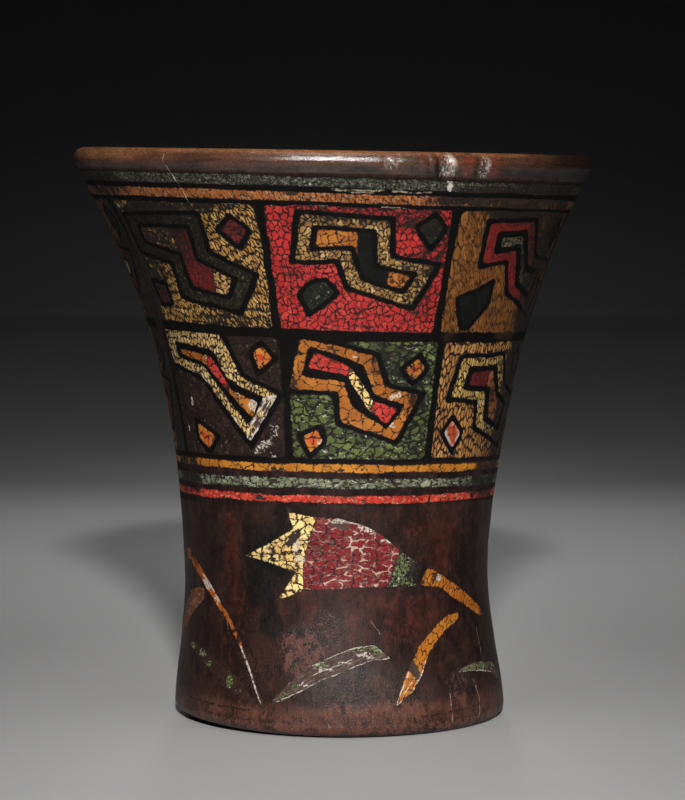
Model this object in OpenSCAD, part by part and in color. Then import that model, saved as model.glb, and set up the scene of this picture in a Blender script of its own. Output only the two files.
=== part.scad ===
// Kero: a flared drinking cup carved from one block of wood, with coloured
// resin inlays pressed into recesses in its outer wall.
// Front is -Y, up is +Z, and the origin is the middle of the base.

/* [Cup] */
// Height of the middle of the rim above the base
rim_h = 186.5; // [184:0.5:189]
// Thickness of the wall at the rim and along the side
wall_t = 7.5; // [6:0.5:9]
// Thickness of the floor
floor_t = 22; // [16:1:30]
// Lean of the rim, left side up, in degrees
rim_lean = 0.95; // [0:0.05:1.2]
// Dip of the rim towards the front, in degrees
rim_dip = 0.55; // [0:0.05:1]
// Width of the bevel on both edges of the lip
lip_bevel = 2; // [1:0.25:2.5]

/* [Inlays] */
// Depth of the recesses, which is the thickness of the inlays
inlay_t = 1.5; // [1:0.1:2]
// Width of the zigzag frames, on their level runs
frame_w = 2.8; // [2.4:0.1:3]
// Width of the wood left standing around a zigzag
line_w = 1.3; // [1:0.1:1.5]
// Width of the wood left standing between a frame and its core
core_gap = 1.2; // [1:0.1:1.4]
// Width of the wood left standing around a diamond
diamond_gap = 1.3; // [1:0.1:1.5]
// How much wider upright runs are than level runs
stretch = 1.4; // [1.2:0.05:1.5]

/* [Bands] */
// Half height of the green band under the lip
upper_green_h = 1.6; // [1.2:0.1:1.9]
// Half height of the ochre band under the lip
upper_ochre_h = 1.45; // [1.1:0.05:1.6]
// Half height of the ochre band under the panels
lower_ochre_h = 1.3; // [1:0.1:1.5]
// Half height of the green band under the panels
lower_green_h = 1.6; // [1.2:0.1:1.8]
// Half height of the red band under the panels
lower_red_h = 1.3; // [1:0.1:1.5]

/* [Hidden] */
$fn = 96;

yellow = "#d8b565";
red = "#b23a31";
ochre = "#b8762f";
green = "#6f7b52";
dark = "#2f382c";
purple = "#4b3433";
wood = "#4f2c20";

// Outer profile: height and radius at hand-set stations, joined by a smooth curve
stations = [[0, 55.2], [10, 54.5], [25, 52.3], [45, 50.5], [70, 51.9], [95, 55.4],
            [120, 60.5], [140, 66.6], [160, 74.2], [172, 80.2], [183, 85.4],
            [187, 85.6], [200, 85.6]];
last = len(stations) - 1;
function slope(i) = let (a = stations[max(i - 1, 0)], b = stations[min(i + 1, last)])
    (b[1] - a[1]) / (b[0] - a[0]);
function span_of(z, i = 0) = (i >= last - 1 || z <= stations[i + 1][0]) ? i : span_of(z, i + 1);
function blend(i, z) =
    let (a = stations[i], b = stations[i + 1], h = b[0] - a[0], t = (z - a[0]) / h)
    (2*t*t*t - 3*t*t + 1) * a[1] + (t*t*t - 2*t*t + t) * h * slope(i)
    + (3*t*t - 2*t*t*t) * b[1] + (t*t*t - t*t) * h * slope(i + 1);
function radius(z) = blend(span_of(z), z);

lip_r = 85.6;
step = 7.5;

// The foot's rounded edge, then the side up to above the rim
foot = [[0, 0], [51.6, 0], [53.4, 0.6], [54.5, 1.8], [54.9, 3.4]];
side = [for (z = [step : step : 195]) [radius(z), z]];

// The hollow: a flat floor, a round corner, then a wall of even thickness
corner_r = 14;
hollow_r = radius(floor_t + corner_r) - wall_t;
hollow = concat(
    [[0, floor_t]],
    [for (a = [0 : 15 : 90]) [hollow_r - corner_r + corner_r * sin(a), floor_t + corner_r - corner_r * cos(a)]],
    [for (z = [floor_t + corner_r + step : step : 195]) [radius(z) - wall_t, z]],
    [[lip_r - wall_t, 205], [0, 205]]);

// Sector edges around the cup, in degrees from the front, to the right
upper_edges = [-65, -17.3, 29.4, 80, 134, 187, 241, 295];
lower_edges = [-65, -16.2, 31.8, 82, 136, 189, 242, 295];
function edges(row) = row == 0 ? upper_edges : lower_edges;
function middle(row, k) = (edges(row)[k] + edges(row)[k + 1]) / 2;

// Lower and upper limits of a panel row, which follow the slanting rim
function row_low(row, a) = row == 0 ? 130 - 2.4 * sin(a) : 87.3 + 2 * cos(a) - 0.9 * sin(a);
function row_top(row, a) = row == 0 ? 168.6 - 2.4 * sin(a) : 127 - 2.4 * sin(a);

// A point given in percent across and up a panel, laid on the panel's own plane
function on_panel(row, k, p) =
    let (e = edges(row), a = e[k] + (e[k + 1] - e[k]) * p[0] / 100,
         z = row_low(row, a) + (row_top(row, a) - row_low(row, a)) * p[1] / 100)
    [radius(z) * sin(a - middle(row, k)), z];
// A point given in degrees around and millimetres up, laid on the plane at angle c
function on_side(c, p) = [radius(p[1]) * sin(p[0] - c), p[1]];

// Outline moved inwards by d, or outwards where d is negative
function turn(p, i = 0) = i >= len(p) ? 0
    : let (a = p[i], b = p[(i + 1) % len(p)]) a[0] * b[1] - b[0] * a[1] + turn(p, i + 1);
function normal(a, b, s) = let (d = b - a, l = norm(d)) [-d[1] * s / l, d[0] * s / l];
function inset(p, d, w = stretch) =
    let (q = [for (v = p) [v[0] / w, v[1]]], s = turn(q) > 0 ? 1 : -1, n = len(q))
    [for (i = [0 : n - 1])
        let (n1 = normal(q[(i + n - 1) % n], q[i], s), n2 = normal(q[i], q[(i + 1) % n], s),
             v = q[i] + d * (n1 + n2) / (1 + n1 * n2))
        [v[0] * w, v[1]]];

// Zigzag outlines, in percent of a panel, for three panels of each row
zigzags = [
    [[[9, 87], [64.5, 90], [64.5, 59], [90, 43], [77, 12.5], [39, 22.5], [37.5, 50], [10, 58]],
     [[20, 93], [64, 90], [66, 60], [92.5, 55], [80, 22], [44, 36], [39, 58], [14.5, 56]],
     [[20.5, 91], [54, 92], [66, 62], [92, 58], [83, 16], [49, 34], [41, 60.5], [22, 57]]],
    [[[4.5, 100], [58.5, 100], [69.5, 66.5], [94, 52.5], [72, 11.5], [41, 59], [33, 65.5], [6, 73]],
     [[11.5, 101], [57, 88.5], [64, 61.5], [88, 55.5], [73, 16.5], [35, 31], [34, 57], [2, 57.5]],
     [[18, 86.5], [59, 88], [69, 62], [92, 51.5], [82, 10], [41, 26], [39, 50], [13, 52.5]]]];
// Two zigzags of the lower row are cut unevenly: the inner edge of the frame, then its core
own_holes = [
    [[15.5, 91], [51, 86], [58.5, 63.5], [84.5, 48.5], [70.5, 26], [46, 63], [41, 71.5], [14.5, 78.5]],
    [[16.5, 94.5], [49.5, 80.5], [57.5, 54], [78, 47], [66.5, 25.5], [42, 45], [38, 65.5], [11, 69]]];
own_cores = [
    [[19.5, 86], [49.5, 80], [60.5, 54.5], [79.5, 45], [74, 31.5], [46, 68], [43, 73.5], [18.5, 81.5]],
    [[19.5, 89.5], [42, 78], [57, 48.5], [73.5, 44], [66, 29.5], [52, 43], [39, 71], [14.5, 75.5]]];
// Where each core changes colour: percent across, on its upper and lower run
core_cuts = [[[44, 66], [48.5, 66], [52, 66]], [[44.5, 58.5], [40.5, 57], [46, 66]]];
// Diamond outlines: one in the upper right corner and one in the lower left
diamonds = [
    [[[[84, 88], [91, 78], [85, 67], [76.5, 78]], [[11.5, 31], [23, 31], [24, 16], [14.5, 14]]],
     [[[87.5, 94], [94, 85], [87.5, 71], [80, 85]], [[16.5, 29], [24, 39], [31, 39.5], [35.5, 31], [21, 15]]],
     [[[85, 94], [93, 84], [86, 72], [78, 84]], [[11.5, 28], [32, 40.5], [33, 26.5], [22, 6], [17, 6]]]],
    [[[[86, 92.5], [93, 82.5], [82.5, 72], [79.5, 86]], [[23, 25.5], [42, 14.5], [33, 4], [23, 12.5]]],
     [[[85.5, 87], [90.5, 77], [82.5, 66.5], [75.5, 77.5]], [[9, 18.5], [21, 25], [24, 15], [14.5, 4]]],
     [[[84, 92], [92, 83], [86, 71], [79, 82]], [[16.5, 33], [26, 22], [19.5, 8.5], [11, 22.5]]]]];
// Field outlines: plain, or with the upper left corner left to the zigzag
plain = [[2.4, 0], [97, 0], [97, 100], [2.4, 100]];
cut_corner = [[2.4, 0], [97, 0], [97, 100], [42, 100], [2.4, 62]];

// Colours of each panel: field, zigzag frame, core ends, core middle, diamonds, then its outline
panels = [
    [[yellow, dark, yellow, red, red, 0], [red, yellow, ochre, dark, dark, 1],
     [ochre, red, green, green, dark, 2], [purple, yellow, ochre, red, ochre, 0],
     [yellow, dark, yellow, red, red, 1], [red, yellow, ochre, dark, dark, 2],
     [ochre, red, yellow, green, dark, 1]],
    [[purple, yellow, ochre, red, ochre, 0], [green, ochre, red, yellow, ochre, 1],
     [yellow, yellow, red, ochre, red, 2], [red, yellow, ochre, dark, dark, 1],
     [purple, ochre, red, yellow, ochre, 2], [green, yellow, red, ochre, ochre, 0],
     [yellow, red, ochre, yellow, red, 1]]];
function shape_of(row, k) = panels[row][k][5];
// Panels past the third repeat an outline, each cut a little differently by hand
function by_hand(k, i, p) = k < 3 ? p : p + 1.2 * [sin(97 * k + 61 * i), cos(83 * k + 47 * i)];
function laid(row, k, pts) = [for (i = [0 : len(pts) - 1]) on_panel(row, k, by_hand(k, i, pts[i]))];
function zigzag(row, k) = laid(row, k, zigzags[row][shape_of(row, k)]);
function diamond(row, k, j) = laid(row, k, diamonds[row][shape_of(row, k)][j]);
function uneven(row, k) = row == 1 && shape_of(row, k) < 2;
// More wood is left standing around some of the cores
core_extra = [[0, 0, 0.6], [0, 0, 0.5]];
function hole(row, k) = uneven(row, k) ? laid(row, k, own_holes[shape_of(row, k)]) : inset(zigzag(row, k), frame_w);
function core(row, k) = uneven(row, k) ? laid(row, k, own_cores[shape_of(row, k)])
    : inset(zigzag(row, k), frame_w + core_gap + core_extra[row][shape_of(row, k)]);
function field_outline(row, k) = [for (p = uneven(row, k) ? cut_corner : plain) on_panel(row, k, p)];
// The part of a panel that holds the middle of a core
function core_middle(row, k) =
    let (c = core_cuts[row][shape_of(row, k)])
    [for (p = [[c[0], 115], [115, 115], [115, 60], [c[1], 60], [c[1] - 4, -5], [-15, -5], [-15, 52], [c[0], 52]]) on_panel(row, k, p)];

// Flower frieze outlines: degrees around from the front, millimetres up
petals = [[-17.5, 72.3], [-7, 70.5], [-9.5, 64], [-11.5, 56], [-12, 46.8], [-22, 43.3],
          [-14.5, 52.8], [-34.5, 57.2], [-15.5, 66.5]];
bell = [[-7, 70.5], [0, 70.3], [8, 68.5], [16, 65], [24, 59], [21.5, 55], [20.5, 51],
        [18.5, 47.8], [0, 47.5], [-12, 46.8], [-11.5, 56], [-9.5, 64]];
calyx = [[24, 59], [33.5, 54.2], [31.5, 51], [30, 47.6], [18.5, 47.8], [20.5, 51], [21.5, 55]];
head = [[-17.5, 72.3], [-7, 70.5], [0, 70.3], [8, 68.5], [16, 65], [24, 59], [33.5, 54.2],
        [31.5, 51], [30, 47.6], [18.5, 47.8], [0, 47.5], [-12, 46.8], [-22, 43.3],
        [-14.5, 52.8], [-34.5, 57.2], [-15.5, 66.5]];
stem = [[35, 53.6], [41, 50.8], [50, 46.5], [58, 42.3], [65, 38.5], [68.5, 36.3], [69, 33.8],
        [61, 36.8], [53, 40], [46.5, 43.5], [42, 46.2], [37.5, 46.8], [32, 47.6]];
slim_stem = [[-73.5, 57.2], [-66, 54.5], [-60, 51], [-50, 43.5], [-44, 38], [-38, 31.5], [-34, 25.5],
             [-29, 15.5], [-25.5, 9], [-26.5, 9], [-30.5, 16], [-36, 26], [-40, 31], [-46, 37],
             [-52, 41.5], [-61, 47.5], [-68, 51.5], [-74.5, 54.2]];
long_leaf = [[51, 38], [45, 37.3], [40, 35], [35, 32], [30, 27.8], [25, 20.5], [22, 15.3], [19.5, 10],
             [26, 14], [31, 20], [33.5, 24.5], [37, 28.5], [42, 31.7], [47, 34], [51, 35.8]];
short_leaf = [[-58, 44.3], [-64, 44.5], [-70, 43], [-76, 39], [-81, 32], [-84, 25], [-77, 28.5],
              [-70, 33.5], [-65, 37.2], [-59, 40.5]];
right_leaf = [[-23.5, 11], [-20, 14.5], [-15, 19], [-10, 22.8], [-5, 25], [0, 27], [5, 28.8], [10, 29.6],
              [14, 29.2], [19, 25], [12, 24.5], [6, 22.8], [0, 20.4], [-5, 18.8], [-10, 16.3],
              [-15, 13.7], [-20, 11]];
left_leaf = [[-29, 11], [-33, 14], [-39, 18.5], [-47, 21.5], [-55, 24.5], [-62, 26.3], [-70, 27],
             [-65, 24], [-58, 21.5], [-50, 18], [-44, 14.5], [-38, 12.5], [-32, 10.5]];
low_leaf = [[80.5, 11], [77, 15.2], [72, 18.5], [62, 20.3], [56, 20.4], [50, 19.6], [46, 18.6], [55, 18],
            [62, 17.2], [70, 15.5], [76, 12.5]];
// The three plants: each flower, and where the plant behind it repeats its pieces
head_turns = [0, -110, 125];
stem_turns = [0, 125];
leaf_turns = [0, 125];
right_turns = [0, 110, -125];
left_turns = [0, -125];

// Bands: height at the middle, then slant to the left and to the front
bands = [[175.9, 2.6, 0], [171.3, 2.6, 0], [84.2, 0.9, 2], [79.3, 0.5, 2], [74.9, 0.6, 1.3]];

// Ring between depth d under the surface and height h over it, from z0 to z1
module skin(z0, z1, d, h) {
    zs = concat([z0], [for (z = [step : step : 195]) if (z > z0 + 0.5 && z < z1 - 0.5) z], [z1]);
    n = len(zs) - 1;
    rotate_extrude() polygon(concat(
        [for (z = zs) [chord(z) + h, z]],
        [for (i = [n : -1 : 0]) [chord(zs[i]) - d, zs[i]]]));
}
// Radius of the turned side, which is straight between its stations
function chord(z) = let (a = floor(z / step) * step, b = a + step, t = (z - a) / step)
    a < step ? 54.9 + (radius(step) - 54.9) * (z - 3.4) / (step - 3.4)
    : radius(a) * (1 - t) + radius(b) * t;
// Straight prism from the axis outwards, over an outline on the plane at angle c
module prism(c, pts) rotate([0, 0, c]) rotate([90, 0, 0]) linear_extrude(height = 120) polygon(pts);
// Flat slab that a band is cut from
module slab(b, half) {
    r = radius(b[0]);
    translate([0, 0, b[0]]) rotate([-atan(b[2] / r), atan(b[1] / r), 0])
        translate([-110, -110, -half]) cube([220, 220, 2 * half]);
}

module field_prism(row, k) {
    c = middle(row, k);
    difference() {
        prism(c, field_outline(row, k));
        prism(c, inset(zigzag(row, k), -line_w));
        for (j = [0, 1]) prism(c, inset(diamond(row, k, j), -diamond_gap, 1.2));
    }
}
module frame_prism(row, k) {
    c = middle(row, k);
    difference() {
        prism(c, zigzag(row, k));
        prism(c, hole(row, k));
    }
}
module core_prism(row, k) prism(middle(row, k), core(row, k));
module diamond_prism(row, k, j) prism(middle(row, k), diamond(row, k, j));
module row_skin(row, d, h) { if (row == 0) skin(124, 174, d, h); else skin(84, 134, d, h); }
module side_piece(c, pts, a, d, h, z0 = 5, z1 = 76)
    rotate([0, 0, a]) intersection() {
        skin(z0, z1, d, h);
        prism(c, [for (p = pts) on_side(c, p)]);
    }

module panel_recess(row, k) {
    intersection() { row_skin(row, inlay_t, 6); field_prism(row, k); }
    intersection() { row_skin(row, inlay_t, 6); frame_prism(row, k); }
    intersection() { row_skin(row, inlay_t, 6); core_prism(row, k); }
    for (j = [0, 1]) intersection() { row_skin(row, inlay_t, 6); diamond_prism(row, k, j); }
}
module band_ring(i, half, d, h) intersection() {
    skin(bands[i][0] - 6, bands[i][0] + 6, d, h);
    slab(bands[i], half);
}
module band_recesses(h) {
    band_ring(0, upper_green_h, inlay_t, h);
    band_ring(1, upper_ochre_h, inlay_t, h);
    band_ring(2, lower_ochre_h, inlay_t, h);
    band_ring(3, lower_green_h, inlay_t, h);
    band_ring(4, lower_red_h, inlay_t, h);
}
module stems(h) {
    for (a = stem_turns) side_piece(58, stem, a, inlay_t, h);
    side_piece(-50, slim_stem, 0, inlay_t, h);
}
module drooping(h) {
    for (a = leaf_turns) side_piece(35, long_leaf, a, inlay_t, h);
    side_piece(-71, short_leaf, 0, inlay_t, h);
}
module lefts(h) {
    for (a = left_turns) side_piece(-48, left_leaf, a, inlay_t, h);
    side_piece(64, low_leaf, 0, inlay_t, h);
}
module rights(h) for (a = right_turns) side_piece(-3, right_leaf, a, inlay_t, h);
module heads(h) for (a = head_turns) side_piece(0, head, a, inlay_t, h);

// Place on the slanting plane of the rim
module at_rim() translate([0, 0, rim_h]) rotate([rim_dip, rim_lean, 0]) children();
// The turned cup, cut to the slanting rim, with both edges of the lip bevelled
module turned_cup() difference() {
    difference() {
        rotate_extrude() polygon(concat(foot, side, [[0, 195]]));
        rotate_extrude() polygon(hollow);
        at_rim() translate([-120, -120, 0]) cube([240, 240, 40]);
    }
    at_rim() rotate_extrude() polygon([[lip_r - lip_bevel - 0.5, 0.5], [lip_r + 4, -lip_bevel - 4], [lip_r + 4, 0.5]]);
    at_rim() rotate_extrude() polygon([[lip_r - wall_t + lip_bevel + 0.5, 0.5], [lip_r - wall_t - 4, 0.5],
                                       [lip_r - wall_t - 4, -lip_bevel - 4]]);
}
module wooden_cup() color(wood) difference() {
    difference() {
        difference() {
            turned_cup();
            for (k = [0 : 6]) panel_recess(0, k);
        }
        for (k = [0 : 6]) panel_recess(1, k);
    }
    band_recesses(6);
    heads(6);
    stems(6);
    drooping(6);
    lefts(6);
    rights(6);
}
module upper_green_band() color(green) band_ring(0, upper_green_h, inlay_t, 0);
module upper_ochre_band() color(ochre) band_ring(1, upper_ochre_h, inlay_t, 0);
module lower_ochre_band() color(ochre) band_ring(2, lower_ochre_h, inlay_t, 0);
module lower_green_band() color(green) band_ring(3, lower_green_h, inlay_t, 0);
module lower_red_band() color(red) band_ring(4, lower_red_h, inlay_t, 0);
module field(row, k) color(panels[row][k][0]) intersection() { row_skin(row, inlay_t, 0); field_prism(row, k); }
module zigzag_frame(row, k) color(panels[row][k][1]) intersection() { row_skin(row, inlay_t, 0); frame_prism(row, k); }
// Every core piece of one colour
module cores(c) color(c) for (row = [0, 1], k = [0 : 6]) {
    ends = panels[row][k][2];
    mid = panels[row][k][3];
    if (ends == c && mid == c) intersection() { row_skin(row, inlay_t, 0); core_prism(row, k); }
    else if (mid == c) intersection() {
        row_skin(row, inlay_t, 0);
        core_prism(row, k);
        prism(middle(row, k), core_middle(row, k));
    }
    else if (ends == c) difference() {
        intersection() { row_skin(row, inlay_t, 0); core_prism(row, k); }
        prism(middle(row, k), core_middle(row, k));
    }
}
// Every diamond of one colour
module all_diamonds(c) color(c) for (row = [0, 1], k = [0 : 6], j = [0, 1])
    if (panels[row][k][4] == c) intersection() { row_skin(row, inlay_t, 0); diamond_prism(row, k, j); }
module flower_petals() color(yellow) for (a = head_turns) side_piece(0, petals, a, inlay_t, 0);
module flower_bells() color(red) for (a = head_turns) side_piece(0, bell, a, inlay_t, 0);
module flower_calyxes() color(green) for (a = head_turns) side_piece(0, calyx, a, inlay_t, 0);
module flower_stems() color(ochre) stems(0);
module ochre_leaves() color(ochre) drooping(0);
module green_leaves_left() color(green) lefts(0);
module green_leaves_right() color(green) rights(0);

wooden_cup();
upper_green_band();
upper_ochre_band();
lower_ochre_band();
lower_green_band();
lower_red_band();
for (k = [0 : 6]) {
    field(0, k);
    zigzag_frame(0, k);
    field(1, k);
    zigzag_frame(1, k);
}
cores(yellow);  // yellow_cores
cores(red);  // red_cores
cores(ochre);  // ochre_cores
cores(dark);  // dark_cores
cores(green);  // green_cores
all_diamonds(red);  // red_diamonds
all_diamonds(ochre);  // ochre_diamonds
all_diamonds(dark);  // dark_diamonds
flower_petals();
flower_bells();
flower_calyxes();
flower_stems();
ochre_leaves();
green_leaves_left();
green_leaves_right();
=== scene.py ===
import math
import bpy
import numpy as np
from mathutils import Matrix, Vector, kdtree
from mathutils.geometry import delaunay_2d_cdt


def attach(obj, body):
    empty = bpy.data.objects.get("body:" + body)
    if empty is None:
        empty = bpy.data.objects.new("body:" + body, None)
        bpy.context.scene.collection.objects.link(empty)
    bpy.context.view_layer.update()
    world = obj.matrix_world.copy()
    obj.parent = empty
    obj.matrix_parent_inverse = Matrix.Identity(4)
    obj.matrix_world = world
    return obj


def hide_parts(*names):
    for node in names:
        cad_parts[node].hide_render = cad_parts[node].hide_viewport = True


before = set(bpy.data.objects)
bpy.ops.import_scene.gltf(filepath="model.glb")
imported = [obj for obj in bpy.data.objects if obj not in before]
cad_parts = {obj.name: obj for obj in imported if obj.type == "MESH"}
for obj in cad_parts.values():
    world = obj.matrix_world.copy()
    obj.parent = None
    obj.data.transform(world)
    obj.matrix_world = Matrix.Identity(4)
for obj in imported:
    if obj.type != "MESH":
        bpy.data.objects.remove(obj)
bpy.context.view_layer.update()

# All lengths below are millimetres and all angles degrees, as in the part's source;
# meshes are written in metres. Front is -Y and angles run from the front to the right.
MM = 0.001
DEG = math.pi / 180


# ---------------------------------------------------------------- smooth hand noise
TABLE = np.random.RandomState(5).uniform(-1, 1, (512, 512))


def lattice(i, j, u, v):
    u, v = u * u * (3 - 2 * u), v * v * (3 - 2 * v)
    low = TABLE[i[0] % 512, j % 512] * (1 - u) + TABLE[i[1] % 512, j % 512] * u
    top = TABLE[i[0] % 512, (j + 1) % 512] * (1 - u) + TABLE[i[1] % 512, (j + 1) % 512] * u
    return low * (1 - v) + top * v


def around(theta, z, cells, height, seed):
    """Noise from -1 to 1 that closes on itself around the cup, with so many cells around."""
    x = np.asarray(theta, float) / 360 * cells
    y = np.asarray(z, float) / height + 37 * seed
    i, j = np.floor(x).astype(int), np.floor(y).astype(int)
    return lattice(((i % cells) + 61 * seed, ((i + 1) % cells) + 61 * seed), j, x - i, y - j)


def ease(x, a, b):
    t = np.clip((np.asarray(x, float) - a) / (b - a), 0, 1)
    return t * t * (3 - 2 * t)


# ---------------------------------------------------------------- the cup's form
STATIONS = np.array([[0, 55.2], [10, 54.5], [25, 52.3], [45, 50.5], [70, 51.9], [95, 55.4],
                     [120, 60.5], [140, 66.6], [160, 74.2], [172, 80.2], [183, 85.4],
                     [187, 85.6], [200, 85.6]])
SZ, SR = STATIONS[:, 0], STATIONS[:, 1]
SLOPE = np.array([(SR[min(i + 1, 12)] - SR[max(i - 1, 0)]) / (SZ[min(i + 1, 12)] - SZ[max(i - 1, 0)]) for i in range(13)])


def radius(z):
    z = np.clip(np.asarray(z, float), 0, 199.9)
    i = np.clip(np.searchsorted(SZ, z) - 1, 0, 11)
    h = SZ[i + 1] - SZ[i]
    t = (z - SZ[i]) / h
    return ((2 * t**3 - 3 * t**2 + 1) * SR[i] + (t**3 - 2 * t**2 + t) * h * SLOPE[i]
            + (3 * t**2 - 2 * t**3) * SR[i + 1] + (t**3 - t**2) * h * SLOPE[i + 1])


def sind(a):
    return np.sin(np.asarray(a, float) * DEG)


def cosd(a):
    return np.cos(np.asarray(a, float) * DEG)


def rim_z(theta):
    return 186.5 - 1.42 * sind(theta) - 0.82 * cosd(theta) + 0.12 * around(theta, 0, 9, 1, 21)


def lean(z):
    """How far the hand-carved axis strays to the right at each height."""
    return np.interp(z, [0, 3, 15, 32, 56, 68, 87, 104, 138, 155, 172, 188],
                     [0.6, 0.6, 0.33, -0.17, -0.5, -0.3, 0.17, 0.33, 0.17, -0.25, -0.75, -0.95])


def ripple(theta, z):
    """The carved surface is never quite true."""
    return (0.16 * around(theta, z, 16, 26, 1) + 0.07 * around(theta, z, 42, 9, 2)
            + 0.025 * around(theta, z, 110, 3.4, 3))


def place(theta, z, r):
    return np.stack([r * sind(theta) + lean(z), -r * cosd(theta), np.asarray(z, float) + 0 * r], -1)


# ---------------------------------------------------------------- the pattern, as carved
UPPER = [-65, -17.3, 29.4, 80, 134, 187, 241, 295]
LOWER = [-65, -16.2, 31.8, 82, 136, 189, 242, 295]
EDGES = (UPPER, LOWER)
STRETCH, FRAME_W, LINE_W, CORE_GAP, DIAMOND_GAP, INLAY = 1.4, 2.8, 1.3, 1.2, 1.3, 1.5


def middle(row, k):
    return (EDGES[row][k] + EDGES[row][k + 1]) / 2


def row_low(row, a):
    return 130 - 2.4 * sind(a) if row == 0 else 87.3 + 2 * cosd(a) - 0.9 * sind(a)


def row_top(row, a):
    return (168.6 if row == 0 else 127) - 2.4 * sind(a)


def on_panel(row, k, p):
    e = EDGES[row]
    a = e[k] + (e[k + 1] - e[k]) * p[0] / 100
    z = row_low(row, a) + (row_top(row, a) - row_low(row, a)) * p[1] / 100
    return [float(radius(z) * sind(a - middle(row, k))), float(z)]


def on_side(c, p):
    return [float(radius(p[1]) * sind(p[0] - c)), float(p[1])]


def inset(pts, d, w=STRETCH):
    q = np.array(pts, float) / [w, 1]
    nxt, prv = np.roll(q, -1, 0), np.roll(q, 1, 0)
    s = np.sign(np.sum(q[:, 0] * nxt[:, 1] - nxt[:, 0] * q[:, 1]))

    def normal(a, b):
        t = b - a
        t = t / np.linalg.norm(t, axis=1)[:, None]
        return np.stack([-t[:, 1], t[:, 0]], 1) * s

    n1, n2 = normal(prv, q), normal(q, nxt)
    v = q + d * (n1 + n2) / (1 + np.sum(n1 * n2, 1))[:, None]
    return v * [w, 1]


ZIGZAGS = [
    [[[9, 87], [64.5, 90], [64.5, 59], [90, 43], [77, 12.5], [39, 22.5], [37.5, 50], [10, 58]],
     [[20, 93], [64, 90], [66, 60], [92.5, 55], [80, 22], [44, 36], [39, 58], [14.5, 56]],
     [[20.5, 91], [54, 92], [66, 62], [92, 58], [83, 16], [49, 34], [41, 60.5], [22, 57]]],
    [[[4.5, 100], [58.5, 100], [69.5, 66.5], [94, 52.5], [72, 11.5], [41, 59], [33, 65.5], [6, 73]],
     [[11.5, 101], [57, 88.5], [64, 61.5], [88, 55.5], [73, 16.5], [35, 31], [34, 57], [2, 57.5]],
     [[18, 86.5], [59, 88], [69, 62], [92, 51.5], [82, 10], [41, 26], [39, 50], [13, 52.5]]]]
OWN_HOLES = [
    [[15.5, 91], [51, 86], [58.5, 63.5], [84.5, 48.5], [70.5, 26], [46, 63], [41, 71.5], [14.5, 78.5]],
    [[16.5, 94.5], [49.5, 80.5], [57.5, 54], [78, 47], [66.5, 25.5], [42, 45], [38, 65.5], [11, 69]]]
OWN_CORES = [
    [[19.5, 86], [49.5, 80], [60.5, 54.5], [79.5, 45], [74, 31.5], [46, 68], [43, 73.5], [18.5, 81.5]],
    [[19.5, 89.5], [42, 78], [57, 48.5], [73.5, 44], [66, 29.5], [52, 43], [39, 71], [14.5, 75.5]]]
CORE_CUTS = [[[44, 66], [48.5, 66], [52, 66]], [[44.5, 58.5], [40.5, 57], [46, 66]]]
CORE_EXTRA = [[0, 0, 0.6], [0, 0, 0.5]]
DIAMONDS = [
    [[[[84, 88], [91, 78], [85, 67], [76.5, 78]], [[11.5, 31], [23, 31], [24, 16], [14.5, 14]]],
     [[[87.5, 94], [94, 85], [87.5, 71], [80, 85]], [[16.5, 29], [24, 39], [31, 39.5], [35.5, 31], [21, 15]]],
     [[[85, 94], [93, 84], [86, 72], [78, 84]], [[11.5, 28], [32, 40.5], [33, 26.5], [22, 6], [17, 6]]]],
    [[[[86, 92.5], [93, 82.5], [82.5, 72], [79.5, 86]], [[23, 25.5], [42, 14.5], [33, 4], [23, 12.5]]],
     [[[85.5, 87], [90.5, 77], [82.5, 66.5], [75.5, 77.5]], [[9, 18.5], [21, 25], [24, 15], [14.5, 4]]],
     [[[84, 92], [92, 83], [86, 71], [79, 82]], [[16.5, 33], [26, 22], [19.5, 8.5], [11, 22.5]]]]]
PLAIN = [[2.4, 0], [97, 0], [97, 100], [2.4, 100]]
CUT_CORNER = [[2.4, 0], [97, 0], [97, 100], [42, 100], [2.4, 62]]
# Colours of each panel: field, zigzag frame, core ends, core middle, diamonds, then its outline
PANELS = [
    [["yellow", "dark", "yellow", "red", "red", 0], ["red", "yellow", "ochre", "dark", "dark", 1],
     ["ochre", "red", "green", "green", "dark", 2], ["purple", "yellow", "ochre", "red", "ochre", 0],
     ["yellow", "dark", "yellow", "red", "red", 1], ["red", "yellow", "ochre", "dark", "dark", 2],
     ["ochre", "red", "yellow", "green", "dark", 1]],
    [["purple", "yellow", "ochre", "red", "ochre", 0], ["green", "ochre", "red", "yellow", "ochre", 1],
     ["yellow", "yellow", "red", "ochre", "red", 2], ["red", "yellow", "ochre", "dark", "dark", 1],
     ["purple", "ochre", "red", "yellow", "ochre", 2], ["green", "yellow", "red", "ochre", "ochre", 0],
     ["yellow", "red", "ochre", "yellow", "red", 1]]]


def by_hand(k, i, p):
    if k < 3:
        return p
    return [p[0] + 1.2 * float(sind(97 * k + 61 * i)), p[1] + 1.2 * float(cosd(83 * k + 47 * i))]


def laid(row, k, pts):
    return [on_panel(row, k, by_hand(k, i, p)) for i, p in enumerate(pts)]


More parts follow.
